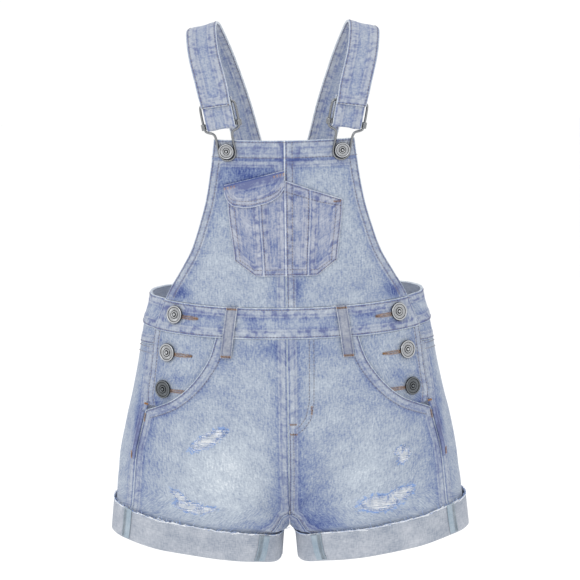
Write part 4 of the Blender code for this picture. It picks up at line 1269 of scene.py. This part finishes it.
x = np.linspace(-FLAP_OUTER, -FLAP_INNER, 90)
bottom = np.stack((x, along(FLAP_EDGE, 1, -x)), axis=1)
fold = np.stack((x, flap_top(x)), axis=1)
edges = [on_flap(row[:, 0], row[:, 1]) for row in (bottom, fold)]
cloth("flap_over_pocket", ["pocket_flap"], flap, (0.0534, 0.020), step=0.0011, edges=edges,
      face=pocket_twill)
inner = np.linspace(-FLAP_OUTER + 0.0045, -0.0040, 90)
rows = [np.stack((inner, along(FLAP_EDGE, 1, -inner) + inset), axis=1) for inset in (0.0026, 0.0058)]
topstitch("flap_stitching", [front(row[:, 0], row[:, 1], FLAP_OUT + STITCH_ABOVE) for row in rows],
          faded_thread, pitch=0.0026)
rows = [part - (0, inset) for part in (fold[1:16], fold[-16:-1]) for inset in (0.0028, 0.0042)]
topstitch("flap_top_stitching", [front(row[:, 0], row[:, 1], FLAP_TOP_OUT + 0.0008) for row in rows],
          tan_thread, pitch=0.0024)


# Belt loops
# Narrow strips of twill, folded in three and left greyer by the wash. Each lies over the
# front waistband and is tacked with tan thread at both ends.
LOOP_HALF = 0.0050
LOOP_WALL = 0.0016
LOOP_TOP_X = 0.0490
LOOP_LEAN = 0.0068
LOOP_ABOVE_BAND = 0.0004
LOOP_RUN = ((0.000, 0.0030), (0.006, 0.0034), (0.022, 0.0040), (0.031, 0.0033), (0.047, 0.0020))
loop_twill = denim("folded loop twill", ("4E587C", "70788F", "8C929F", "A4A9B4", "C9CDD5"))
for side, word in ((-1, "left"), (1, "right")):
    def loop_at(across, up, side=side):
        down = LOOP_RUN[-1][0] * (1 - up)
        x = side * (LOOP_TOP_X + LOOP_LEAN * (1 - up)) + LOOP_HALF * (2 * across - 1)
        return x, WAIST_TOP + LOOP_ABOVE_BAND - down, along(LOOP_RUN, 1, down)

    def belt_loop(across, up, side=side, loop_at=loop_at):
        return front(*loop_at(across, up))

    up = np.linspace(0, 1, 50)
    edges = [belt_loop(np.full(50, at), up) for at in (0.0, 1.0)]
    cloth(f"belt_loop_strip_{word}", [f"belt_loop_{word}"], belt_loop, (0.010, 0.048),
          wall=LOOP_WALL, step=0.0010, edges=edges, face=loop_twill)
    rows = []
    for at in (0.035, 0.955):
        zigzag = np.linspace(0.06, 0.94, 26)
        x, level, out = loop_at(zigzag, np.full(26, at))
        rows.append(front(x, level + 0.0009 * (-1) ** np.arange(26), out + 0.0007))
    sew(f"belt_loop_tacks_{word}", single_thread, rows, {"Thickness": 0.0006}, tan_thread)


# Turn-ups
# Each hem is folded up once, so the paler inside of the twill shows, with the raw edge left
# to fray and the leg's pressed seam allowances lying on it.
CUFF_WALL = 0.0022
CUFF_CLOTH = 0.0011
CUFF_OUT = CUFF_WALL + 2 * SEAM_GAP
FOLD_SHARE = 0.14


def cuff_wave(side, turn):
    """The turn-up is pressed by hand, so it stands off the leg a little unevenly."""
    return 0.0007 * np.sin(8.5 * turn * math.pi + side)


cuff_inside = wrong_side("turned-up wrong side of the twill", "8B93A1", "B8BCC4")
for side, word in ((-1, "left"), (1, "right")):
    def turn_up(across, up, side=side):
        """The lower rows run round the fold, from inside the leg to its outside."""
        turn = from_side(side, across) % 1
        face = np.clip((up - FOLD_SHARE) / (1 - FOLD_SHARE), 0, 1)
        angle = math.pi * np.clip(1 - up / FOLD_SHARE, 0, 1)
        reach = (CUFF_OUT + DENIM) / 2
        level = mixed(HEM, CUFF_TOP, face) - reach * np.sin(angle)
        out = CUFF_OUT - reach * (1 - np.cos(angle)) + cuff_wave(side, turn)
        return body(side, turn, np.maximum(level, HEM - reach), out)

    cloth(f"turn_up_{word}", [f"cuff_{word}"], turn_up, (0.430, 0.034), wall=CUFF_CLOTH,
          face=cuff_inside, back=twill, around=True)


# Straps
# Each is twill folded and stitched along both edges. It runs from its loose folded end above
# the buckle over the shoulder to the back bib. A short loop of it holds the slider bar.
STRAP_WIDTH = 0.0275
STRAP_WALL = 0.0020
SHOULDER_SLOPE = math.radians(14)
SHOULDER_REACH = 0.034
BACK_STRAP_TURN = math.radians(4.5)
FRONT_STRAP_TURN = math.radians(13)
BUTTON_X = 0.0506
BUTTON_LEVEL = -0.1095
RING_OUT = 0.0016
BUCKLE_TOP = (0.0588, -0.0715, -0.0665)
SLIDER_HEIGHT = 0.0238
STRAP_OUT = 0.0060
STRAP_START = (0.0410, 0.0520)
SEWN_END = ((0.0205, -0.1680), (0.0168, -0.1920))
BACK_STRAP_OUT = STRAP_WALL + 3 * SEAM_GAP
FRONT_LIE_END = 0.20
BACK_LIE_START = 0.72
BACK_LIE_SPAN = 0.18
RUN_STEP = 0.004
# Outer face of the viewer's right strap down its middle. Columns: x, y, z
STRAP_ROUTE = (
    (0.0642, -0.0715, -0.0478),
    (0.0700, -0.0580, -0.0262),
    (0.0729, -0.0370, -0.0099),
    (0.0734, -0.0130, -0.0030),
    (0.0712, 0.0100, -0.0040),
    (0.0662, 0.0290, -0.0162),
    (0.0600, 0.0450, -0.0335),
    (0.0545, 0.0560, -0.0510),
    (0.0486, 0.0635, -0.0702),
    (0.0430, 0.0680, -0.0900),
    (0.0362, 0.0705, -0.1170),
    (0.0275, 0.0695, -0.1450),
)
LOOP_LAYER = 0.0015
LOOP_FOLD = SLIDER_HEIGHT - 0.0006
LOOP_TOP = 0.0470
LOOP_RADIUS = 0.0033
LOOP_TOP_RADIUS = 0.0031
LOOP_LEG_SHARE = 4 / 11
STRAP_STITCH_MARGIN = 0.07


def buckle_axes(side):
    """The buckle's ring centre, and its across, up and outward directions."""
    place = np.array(side * BUTTON_X), np.array(BUTTON_LEVEL)
    ring = front(*place, RING_OUT)
    up = np.array(BUCKLE_TOP) * (side, 1, 1) - ring
    up /= np.linalg.norm(up)
    across = np.cross(up, front(*place, 1.0) - front(*place, 0.0))
    across /= np.linalg.norm(across)
    return ring, across, up, np.cross(across, up)


def in_buckle(side, across, height, out=0.0):
    ring, right, up, outward = buckle_axes(side)
    parts = [np.asarray(part, float)[..., None] for part in (across, height, out)]
    return ring + right * parts[0] + up * parts[1] + outward * parts[2]


def strap_middle(side, u):
    """Places down the middle of a strap, from the buckle to its sewn end, u from 0 to 1."""
    lower = [in_buckle(side, 0, height, STRAP_OUT) for height in STRAP_START]
    route = [np.array((side * x, y, z)) for x, y, z in STRAP_ROUTE]
    sewn_end = [back(side * x, level, BACK_STRAP_OUT) for x, level in SEWN_END]
    points = np.array(lower + route + sewn_end)
    where = np.clip(u, 0.0, 1.0) * (len(points) - 1)
    k = np.minimum(where.astype(int), len(points) - 2)
    f = (where - k)[..., None]
    before, after = points[np.maximum(k - 1, 0)], points[np.minimum(k + 2, len(points) - 1)]
    start, end = (points[k + 1] - before) / 2, (after - points[k]) / 2
    return (points[k] * (1 + 2 * f) * (1 - f) ** 2 + start * f * (1 - f) ** 2
            + points[k + 1] * f * f * (3 - 2 * f) + end * f * f * (f - 1))


def turned_about(vectors, axis, angle):
    """Vectors turned about an axis by an angle for each."""
    axis = np.array(axis, float)
    cos, sin = np.cos(angle)[..., None], np.sin(angle)[..., None]
    along_axis = (vectors @ axis)[..., None] * axis
    return vectors * cos + np.cross(axis, vectors) * sin + along_axis * (1 - cos)


def unit(vectors):
    return vectors / np.linalg.norm(vectors, axis=-1, keepdims=True)


def strap_at(side, across, up):
    here = strap_middle(side, up)
    run = unit(strap_middle(side, up + RUN_STEP) - strap_middle(side, up - RUN_STEP))
    width = unit(np.array((1.0, 0, 0)) - run * run[..., :1])
    slope = side * SHOULDER_SLOPE * np.exp(-(here[..., 1] / SHOULDER_REACH) ** 2)
    width = turned_about(width, (0, 1, 0), slope)
    lie = FRONT_STRAP_TURN * (1 - smooth(up / FRONT_LIE_END))
    lie = lie - BACK_STRAP_TURN * smooth((up - BACK_LIE_START) / BACK_LIE_SPAN)
    width = turned_about(width, (0, 0, 1), side * lie)
    width = unit(width - run * (width * run).sum(axis=-1, keepdims=True))
    return here + width * (STRAP_WIDTH * (across - 0.5))[..., None], np.cross(width, run)


strap_twill = denim("folded strap twill", ("46558A", "7683A5", "A1A9B7", "B6BDC7", "D2D8DF"),
                    streak=0.45, mottle=0.38, rope=0.30)
for side, word in ((-1, "left"), (1, "right")):
    def strap(across, up, side=side):
        return strap_at(side, across, up)[0]

    def strap_loop(across, up, side=side):
        """Down behind the frame's front, round the bar and up behind it."""
        from_end = np.minimum(up, 1 - up) / LOOP_LEG_SHARE
        part = np.clip(from_end, 0, 1)
        front_side = np.where(up < 0.5, 1, -1)
        angle = math.pi * np.clip((up - LOOP_LEG_SHARE) / (1 - 2 * LOOP_LEG_SHARE), 0, 1)
        straight = from_end <= 1
        height = np.where(straight, mixed(LOOP_TOP, LOOP_FOLD, part), LOOP_FOLD - LOOP_RADIUS * np.sin(angle))
        leg_out = mixed(LOOP_TOP_RADIUS, LOOP_RADIUS, part) * front_side
        out = np.where(straight, leg_out, LOOP_RADIUS * np.cos(angle))
        return in_buckle(side, (STRAP_WIDTH / 2 - SEAM_GAP) * (1 - 2 * across), height, out)

    up = np.linspace(0, 1, 200)
    edges = [strap(np.full(200, at), up) for at in (0.0, 1.0)]
    edges += [strap(np.linspace(0, 1, 30), np.full(30, at)) for at in (0.0, 1.0)]
    cloth(f"strap_cloth_{word}", [f"strap_{word}"], strap, (STRAP_WIDTH, 0.270),
          wall=STRAP_WALL, step=0.0018, edges=edges, face=strap_twill, back=strap_twill)
    up = np.linspace(0.004, 0.985, 200)
    rows = []
    margins = (STRAP_STITCH_MARGIN, 1 - STRAP_STITCH_MARGIN)
    for at in margins:
        points, away = strap_at(side, np.full(200, at), up)
        rows += [points + away * STITCH_ABOVE, points - away * (STRAP_WALL + 0.0002)]
    for at in (0.009, 0.985):
        points, away = strap_at(side, np.linspace(*margins, 30), np.full(30, at))
        rows.append(points + away * STITCH_ABOVE)
    topstitch(f"strap_stitching_{word}", rows, faded_thread)
    up = np.linspace(0, 1, 80)
    edges = [strap_loop(np.full(80, at), up) for at in (0.0, 1.0)]
    cloth(f"strap_loop_cloth_{word}", [f"strap_loop_{word}"], strap_loop, (0.0269, 0.056),
          wall=LOOP_LAYER, step=0.0016, edges=edges, face=strap_twill, back=strap_twill)


# Buckles
# Frames of bent 2.2 mm steel wire, plated antique silver, with a pressed zinc slider bar
# whose ends curl round the side wires. The frame's ring hooks over the bib's button.
WIRE = 0.0011
RING_HALF = 0.0074
RING_DROP = 0.0090
FRAME_HALF = 0.0164
FRAME_OUTLINE = (
    (RING_HALF, 0.0080),
    (0.0077, 0.0145),
    (0.0094, 0.0170),
    (0.0136, 0.0183),
    (FRAME_HALF, 0.0204),
    (FRAME_HALF, 0.0400),
    (0.0152, 0.0428),
    (0.0124, 0.0437),
)
SLIDER_WIDTH = 0.0034
SLIDER_THICKNESS = 0.0014
SLIDER_BOW = 0.0004
CURL_HALF = 0.0026
CURL_RADIUS = 0.0022


def plated(name, dark, pale, roughness):
    """Antiqued plating: dark in its hollows and rubbed bright on what stands out, and dark with painted shade
    on a button's outer rim edge and underside.
    """
    material, tree = new_material(name)
    place = add(tree, "ShaderNodeTexCoord").outputs["Object"]
    patina_and_shade = add(tree, "ShaderNodeAttribute", attribute_name="patina_and_shade").outputs["Fac"]
    stain = add(tree, "ShaderNodeTexNoise", {"Vector": place, "Scale": 900.0, "Detail": 3.0})
    depth = add(tree, "ShaderNodeMath", {0: stain.outputs["Fac"], 1: 0.42, 2: patina_and_shade},
                operation="MULTIPLY_ADD")
    colour = add(tree, "ShaderNodeValToRGB", {"Fac": depth.outputs[0]})
    colour.color_ramp.elements[0].position = 0.28
    colour.color_ramp.elements[0].color = linear(pale)
    colour.color_ramp.elements[1].position = 0.85
    colour.color_ramp.elements[1].color = linear(dark)
    bump = add(tree, "ShaderNodeBump", {"Height": stain.outputs["Fac"], "Distance": 0.0001, "Strength": 0.35})
    shown(tree, add(tree, "ShaderNodeBsdfPrincipled",
                    {"Base Color": colour.outputs["Color"], "Metallic": 1.0, "Roughness": roughness,
                     "Normal": bump.outputs[0]}))
    return material


antique_silver = plated("antique silver plating", "222428", "B6B8BB", 0.30)
worn_wire = plated("worn silver-plated wire", "1A1B1E", "87898C", 0.26)
gunmetal = plated("gunmetal plating", "141518", "6E7276", 0.32)


def rounded(points, times=3):
    """A closed outline with its corners cut smooth."""
    for _ in range(times):
        after = np.roll(points, -1, axis=0)
        points = np.stack((points * 0.75 + after * 0.25, points * 0.25 + after * 0.75), axis=1)
        points = points.reshape(-1, points.shape[-1])
    return points


def round_faces(rows, count, closed=False):
    """Faces between rings of points, each joined to the next, and the last to the first."""
    faces = []
    for k in range(rows if closed else rows - 1):
        here, after = k * count, (k + 1) % rows * count
        faces += [(here + j, after + j, after + (j + 1) % count, here + (j + 1) % count)
                  for j in range(count)]
    return faces


def metal_mesh(name, verts, faces, metal, patina_and_shade=None):
    """A smooth metal mesh that says how dark its plating is at each point, in hollows and with painted shade.
    """
    mesh = bpy.data.meshes.new(name)
    mesh.from_pydata(verts.tolist(), [], faces)
    depths = mesh.attributes.new("patina_and_shade", "FLOAT", "POINT").data
    if patina_and_shade is not None:
        depths.foreach_set("value", patina_and_shade)
    mesh.materials.append(metal)
    mesh.shade_smooth()
    return mesh


def tube(name, path, radius, closed, metal, rings=10):
    """A round wire along a path, with flat ends if it is open."""
    run = unit(np.roll(path, -1, axis=0) - np.roll(path, 1, axis=0) if closed else np.gradient(path, axis=0))
    flat = unit(np.cross(run, np.cross(run[0], (0.3, 1.0, 0.2))))
    normal = unit(np.cross(run, flat))
    angle = np.linspace(0, 2 * math.pi, rings, endpoint=False)
    round_it = flat[:, None] * np.cos(angle)[:, None] + normal[:, None] * np.sin(angle)[:, None]
    verts = (path[:, None] + round_it * radius).reshape(-1, 3)
    faces = [face[::-1] for face in round_faces(len(path), rings, closed)]
    if not closed:
        last = (len(path) - 1) * rings
        faces += [tuple(range(rings))[::-1], tuple(range(last, last + rings))]
    return metal_mesh(name, verts, faces, metal)


def kept(name, mesh, nodes):
    """Put a finished mesh in the scene in the place of its CAD nodes."""
    obj = link(name, mesh)
    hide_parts(*nodes)
    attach(obj, "root")
    return obj


def joined(name, meshes):
    """Several meshes as one."""
    verts, faces, patina_and_shade = [], [], []
    for mesh in meshes:
        faces += [tuple(len(verts) + k for k in face.vertices) for face in mesh.polygons]
        verts += [vert.co[:] for vert in mesh.vertices]
        patina_and_shade += [item.value for item in mesh.attributes["patina_and_shade"].data]
    return metal_mesh(name, np.array(verts), faces, meshes[0].materials[0], patina_and_shade)


for side, word in ((-1, "left"), (1, "right")):
    angle = np.linspace(-math.pi / 2, math.pi / 2, 12)
    ring_foot = RING_HALF - RING_DROP - RING_HALF * np.cos(angle)
    ring_arc = np.stack((RING_HALF * np.sin(angle), ring_foot), axis=1)
    right_side = np.array(FRAME_OUTLINE)
    left_side = right_side[::-1] * (-1, 1)
    outline = rounded(np.concatenate((ring_arc, right_side, left_side)))
    path = in_buckle(side, outline[:, 0], outline[:, 1])
    kept(f"wire_buckle_{word}", tube("wire", path, WIRE, True, worn_wire),
         [f"buckle_frame_{word}"])

    # The bar: a flat strip with softened edges and a curl at each end
    corners = np.array(((-1, -1), (1, -1), (1, 1), (-1, 1)), float)
    section = rounded(corners, 2) * (SLIDER_WIDTH / 2, SLIDER_THICKNESS / 2)
    stations = np.linspace(-FRAME_HALF, FRAME_HALF, 24)
    rings = []
    for x in stations:
        bow = SLIDER_BOW * math.cos(math.pi * x / (2 * FRAME_HALF))
        rings.append(in_buckle(side, np.full(len(section), x), SLIDER_HEIGHT + section[:, 0],
                               section[:, 1] + bow))
    parts = [metal_mesh("bar", np.concatenate(rings), round_faces(len(rings), len(section)), worn_wire)]
    for end in (-1, 1):
        heights = SLIDER_HEIGHT + np.linspace(-CURL_HALF, CURL_HALF, 5)
        curl = in_buckle(side, np.full(5, end * FRAME_HALF), heights)
        parts.append(tube("curl", curl, CURL_RADIUS, False, worn_wire, rings=16))
    kept(f"slider_{word}", joined("slider", parts), [f"slider_bar_{word}"])


# Buttons and buttonholes
# Tack buttons of stamped zinc alloy with a rolled rim, a ribbed ring and a raised centre, on
# a shank through the cloth. The side ones hold by tan worked buttonholes.
SIDE_BUTTONS = (("waist", 0.286, -0.2652), ("upper", 0.292, -0.2990), ("lower", 0.291, -0.3327))
SIDE_BUTTON_RADIUS = 0.0085
SIDE_BUTTON_GAP = 0.0010
BIB_BUTTON_RADIUS = 0.0070
BIB_BUTTON_GAP = 0.0032
RIBS = 30
RIB_RISE = 0.00016
SHANK_SHARE = 0.380
# Section of the cap. Columns: share of the radius, height, how dark the plating is (deep in hollows, and
# painted shade on the rim's outer edge and underside), ribbed
CAP = (
    (0.000, 0.0025, 0.0, 0),
    (0.080, 0.0025, 0.0, 0),
    (0.140, 0.0022, 0.1, 0),
    (0.175, 0.0013, 1.2, 0),
    (0.230, 0.0012, 1.0, 0),
    (0.270, 0.0018, 0.1, 0),
    (0.330, 0.0020, 0.0, 0),
    (0.380, 0.0018, 0.3, 0),
    (0.420, 0.0013, 1.0, 0),
    (0.480, 0.0014, 0.20, 1),
    (0.600, 0.0015, 0.10, 1),
    (0.720, 0.0016, 0.10, 1),
    (0.780, 0.0016, 0.9, 0),
    (0.820, 0.0021, 0.1, 0),
    (0.880, 0.0024, 0.0, 0),
    (0.940, 0.0022, 0.0, 0),
    # Painted shade: the rim's outer edge and underside are dark, though they are no hollows
    (0.985, 0.0017, 0.6, 0),
    (1.000, 0.0012, 1.0, 0),
    (0.985, 0.0005, 0.5, 0),
    (0.900, 0.0000, 0.8, 0),
    (SHANK_SHARE, 0.0000, 1.0, 0),
)


def button(name, node, place, normal, radius, gap, foot, metal):
    """A tack button at a place on the cloth, facing along the normal."""
    turns = 4 * RIBS
    angle = np.linspace(0, 2 * math.pi, turns, endpoint=False)
    side_way = unit(np.cross(normal, (0.1, 0.2, 1.0)))
    up_way = np.cross(normal, side_way)
    rings, patina_and_shade = [], []
    shank = ((SHANK_SHARE, foot - gap, 1.0, 0), (0.0, foot - gap, 1.0, 0))
    for share, height, depth, ribbed in CAP + shank:
        rib = ribbed * RIB_RISE * np.cos(RIBS * angle)
        reach = max(share, 0.004) * radius
        flat = (np.cos(angle)[:, None] * side_way + np.sin(angle)[:, None] * up_way) * reach
        rings.append(place + flat + (gap + height + rib)[:, None] * normal)
        patina_and_shade.append(np.full(turns, depth) - ribbed * 0.35 * np.cos(RIBS * angle))
    last = (len(rings) - 1) * turns
    faces = round_faces(len(rings), turns)
    faces += [tuple(range(turns)), tuple(range(last, last + turns))[::-1]]
    mesh = metal_mesh(name, np.concatenate(rings), faces, metal, np.concatenate(patina_and_shade))
    return kept(name, mesh, [node])


def satin(side, places, width, out):
    """A dense zigzag of thread across a line of places on one side."""
    count = len(places)
    a = laid(side, beside(places, width / 2), out)
    b = laid(side, beside(places, -width / 2), out)
    return np.where((np.arange(count) % 2 == 0)[:, None], a, b)


BUTTONHOLE_HALF = 0.0085
BUTTONHOLE_WIDTH = 0.0017
BUTTONHOLE_OPEN = 0.0010
PAST_SHANK = 0.0050
# The girth at the side openings is wider to a turn than the mean
SIDE_STRETCH = 1.7
OVAL_STRETCH = 1.55
for side, word in ((-1, "left"), (1, "right")):
    rows = []
    for row, turn, level in SIDE_BUTTONS:
        out = FRONT_BAND_OUT if row == "waist" else float(tucked(np.array(turn), np.array(level)))
        place = body(side, turn, level, out)
        normal = unit(body(side, turn, level, 1.0) - body(side, turn, level, 0.0))
        dark = row == "lower"
        button(f"tack_button_{row}_{word}", f"side_button_{row}_{word}", place, normal, SIDE_BUTTON_RADIUS,
               SIDE_BUTTON_GAP, 2 * SEAM_GAP, gunmetal if dark else antique_silver)
        # The hole is a long oval of stitches that runs from the shank towards the front
        angle = np.linspace(0, 2 * math.pi, 110)
        middle = turn - (PAST_SHANK + BUTTONHOLE_HALF * 0.62) / MEAN_HALF_GIRTH * SIDE_STRETCH
        oval = np.stack((middle + BUTTONHOLE_HALF * OVAL_STRETCH * np.cos(angle) / MEAN_HALF_GIRTH,
                         level - BUTTONHOLE_OPEN + BUTTONHOLE_OPEN * np.sin(angle)), axis=1)
        lift = out + TURNING_RISE + 0.0002 if row == "waist" else tucked(oval[:, 0], oval[:, 1]) + 0.0003
        rows.append(satin(side, oval, BUTTONHOLE_WIDTH, lift))
    sew(f"buttonholes_{word}", single_thread, rows, {"Thickness": 0.00050}, tan_thread)
    outward = buckle_axes(side)[3]
    place = front(np.array(side * BUTTON_X), np.array(BUTTON_LEVEL))
    button(f"bib_tack_button_{word}", f"bib_button_{word}", place, outward, BIB_BUTTON_RADIUS, BIB_BUTTON_GAP,
           SEAM_GAP, antique_silver)


# Bar tacks
# Dense short rows of tan thread that hold the ends of the side openings, the pocket's
# corner and the foot of the mock fly, where the cloth pulls.
# At the opening's end, below it and at the welt's foot. Columns: turn, level, length,
# slant in degrees, how far it stands off
TACKS = (
    (0.3470, -0.3495, 0.0085, 0, 0.0009),
    (0.3435, -0.3625, 0.0075, 90, 0.0009),
    (0.3800, -0.4010, 0.0070, 82, DENIM + 0.0012),
)
# Level ones at the fly's foot and the pocket's corner. Columns: x, level, length, how far out
FRONT_TACKS = (
    (0.0045, -0.3610, 0.0060, 0.0008),
    (0.0050, -0.3705, 0.0060, 0.0008),
    (0.0462, -0.1560, 0.0064, POCKET_OUT + 0.0012),
)
TACK_STITCH = 0.00042
TACK_WIDTH = 0.0017
FRONT_TACK_WIDTH = 0.0014
TACK_GIRTH = 0.52
FLY_TACK_X = 0.0217
FLY_TACK_FOOT = -0.352
FLY_TACK_TOP = -0.344
for side, word in ((-1, "left"), (1, "right")):
    rows = []
    for turn, level, length, slant, out in TACKS:
        angle = math.radians(slant)
        part = np.linspace(-0.5, 0.5, int(length / TACK_STITCH)) * length
        places = np.stack((turn + part * math.cos(angle) / TACK_GIRTH,
                           level + part * math.sin(angle)), axis=1)
        rows.append(satin(side, places, TACK_WIDTH, out))
    if side > 0:
        for x, level, length, out in FRONT_TACKS:
            part = np.linspace(x - length / 2, x + length / 2, 15)
            places = np.stack((turn_at(part, level), np.full(15, level)), axis=1)
            rows.append(satin(side, places, FRONT_TACK_WIDTH, out))
        turn = turn_at(np.full(14, FLY_TACK_X), (FLY_TACK_FOOT + FLY_TACK_TOP) / 2)
        places = np.stack((turn, np.linspace(FLY_TACK_FOOT, FLY_TACK_TOP, 14)), axis=1)
        rows.append(satin(side, places, FRONT_TACK_WIDTH, 0.0004))
    sew(f"bar_tacks_{word}", single_thread, rows, {"Thickness": 0.00055}, tan_thread)


# Worn holes
# Where the blue warp has worn through, white weft threads still cross the hole, and the cut
# warp ends stand up in a blue fringe along its edges.
def place_at(side, x, z):
    """The place on the front of a leg that is seen at a distance from the centre and height."""
    turn, level = turn_at(x, z), np.array(z, float)
    for _ in range(8):
        here = body(side, turn, level)
        reach = (bare_body(turn + 0.001, level)[..., 0] - bare_body(turn, level)[..., 0]) / 0.001
        turn = turn + (np.abs(x) - np.abs(here[..., 0])) / np.maximum(reach, 0.05)
        level = level + (z - here[..., 2])
    return turn, level


white_thread = spun("bleached weft thread", "C6CEDA", "F0F2F4")
blue_thread = spun("indigo warp thread", "6F8CC2", "B4C3DE")
chance = np.random.default_rng(7)
WEFT_PITCH = 0.00085
WEFT_PAST_EDGE = 0.0015
WARP_PITCH = 0.00022
for side, word in ((-1, "left"), (1, "right")):
    wefts, warps = [], []
    for middle_x, middle_z, half_length, half_height, slant in RIPS:
        if middle_x * side < 0:
            continue
        lean = math.radians(slant)
        reach_up = math.hypot(half_length * math.sin(lean), half_height * math.cos(lean))
        dz = np.arange(-reach_up, reach_up, WEFT_PITCH)[:, None]
        rounding = half_length ** 2 - half_height ** 2
        shift = dz * math.cos(lean) * math.sin(lean) * rounding / reach_up ** 2
        half = half_length * half_height / reach_up * np.sqrt(np.maximum(1 - (dz / reach_up) ** 2, 0.02))
        part = np.linspace(-1, 1, 12)
        x = middle_x + shift + (half + WEFT_PAST_EDGE) * part + chance.normal(0, 0.0006, dz.shape)
        z = middle_z + dz + np.cumsum(chance.normal(0, 0.00014, x.shape), axis=1)
        turn, level = place_at(side, x, z)
        lift = 0.0004 + 0.0006 * np.cos(part * math.pi / 2) * chance.uniform(0.3, 1, dz.shape)
        wefts += list(body(side, turn, level, lift))
        around = chance.uniform(0, 2 * math.pi, (int(half_length / WARP_PITCH), 1))
        run, off = half_length * np.cos(around), half_height * np.sin(around)
        part = np.linspace(0, 1, 4)
        bend = chance.normal(0, 0.0006, around.shape)
        x = middle_x + run * math.cos(lean) - off * math.sin(lean) + bend * (1 + part ** 2)
        long = -np.sign(np.sin(around)) * chance.uniform(0.0008, 0.0030, around.shape)
        z = middle_z + run * math.sin(lean) + off * math.cos(lean) + long * (part - 0.3)
        turn, level = place_at(side, x, z)
        warps += list(body(side, turn, level, 0.0003 + chance.uniform(0.0002, 0.0014, around.shape) * part))
    sew(f"hole_weft_{word}", single_thread, wefts, {"Thickness": 0.00050}, white_thread)
    sew(f"hole_warp_ends_{word}", single_thread, warps, {"Thickness": 0.00048}, blue_thread)


# Frayed edges and seam allowances of the turn-ups
# The raw edge has shed its weft, so short warp ends stand up from it. The pressed seam
# allowances lie on the turn-up as darker strips, with their overlocked edges showing.
allowance = wrong_side("pressed seam allowance", "8597A6", "A9B5BF")
overlock_thread = spun("grey overlock thread", "8E939C", "C5C9CF")
FRAY_PITCH = 0.00042
LOOSE_WEFT_PITCH = 0.010
ALLOWANCE_WALL = 0.0008
ALLOWANCE_OUT = CUFF_OUT + 0.0012
# Columns: turn at the cuff's top, at the hem, half width in metres
ALLOWANCES = ((0.0950, 0.1180, 0.0052), (0.3900, 0.3990, 0.0050))
for side, word in ((-1, "left"), (1, "right")):
    turn = np.arange(0.0, 1.0, FRAY_PITCH / MEAN_HALF_GIRTH)[:, None]
    part = np.linspace(0, 1, 4)
    long = chance.gamma(2.0, 0.00070, turn.shape)
    lean = chance.normal(0, 0.0010, turn.shape) / MEAN_HALF_GIRTH
    away = chance.uniform(0.0, 0.0012, turn.shape)
    lift = CUFF_OUT - 0.0006 + away * part ** 2 + cuff_wave(side, turn)
    ends = list(body(side, np.clip(turn + lean * part, 0, 1), CUFF_TOP - 0.0006 + long * part, lift))
    start = np.arange(0.0, 1.0, LOOSE_WEFT_PITCH)[:, None]
    part = np.linspace(0, 1, 10)
    turn = np.clip(start + chance.uniform(0.015, 0.035, start.shape) * part, 0, 1)
    wander = np.cumsum(chance.normal(0, 0.00022, turn.shape), axis=1)
    loose = list(body(side, turn, CUFF_TOP + 0.0003 + wander, CUFF_OUT + 0.0001 + cuff_wave(side, turn)))
    sew(f"frayed_warp_{word}", single_thread, ends, {"Thickness": 0.00050}, blue_thread)
    sew(f"frayed_weft_{word}", single_thread, loose, {"Thickness": 0.00075}, white_thread)
    locks = []
    for number, (turn_top, turn_foot, half) in enumerate(ALLOWANCES):
        def strip(across, up, side=side, turn_top=turn_top, turn_foot=turn_foot, half=half):
            level = mixed(HEM + 0.0005, CUFF_TOP + 0.0012, up)
            turn = mixed(turn_foot, turn_top, up)
            turn = turn + (2 * from_side(side, across) - 1) * half / MEAN_HALF_GIRTH
            return body(side, turn, level, ALLOWANCE_OUT + cuff_wave(side, turn))

        cloth(f"seam_allowance_{number + 1}_{word}", [], strip, (2 * half, 0.0295),
              wall=ALLOWANCE_WALL, step=0.0010, face=allowance, back=allowance)
        up = np.linspace(0.02, 0.98, 44)
        inner = np.where(np.arange(44) % 2 == 0, 0.02, 0.42)
        zigzag = strip(1 - inner if side > 0 else inner, up)
        away = unit(zigzag - zigzag.mean(axis=0) * (1, 0, 1))
        locks.append(zigzag + away * (0, 0.0002, 0))
    sew(f"overlock_{word}", single_thread, locks, {"Thickness": 0.00050}, overlock_thread)
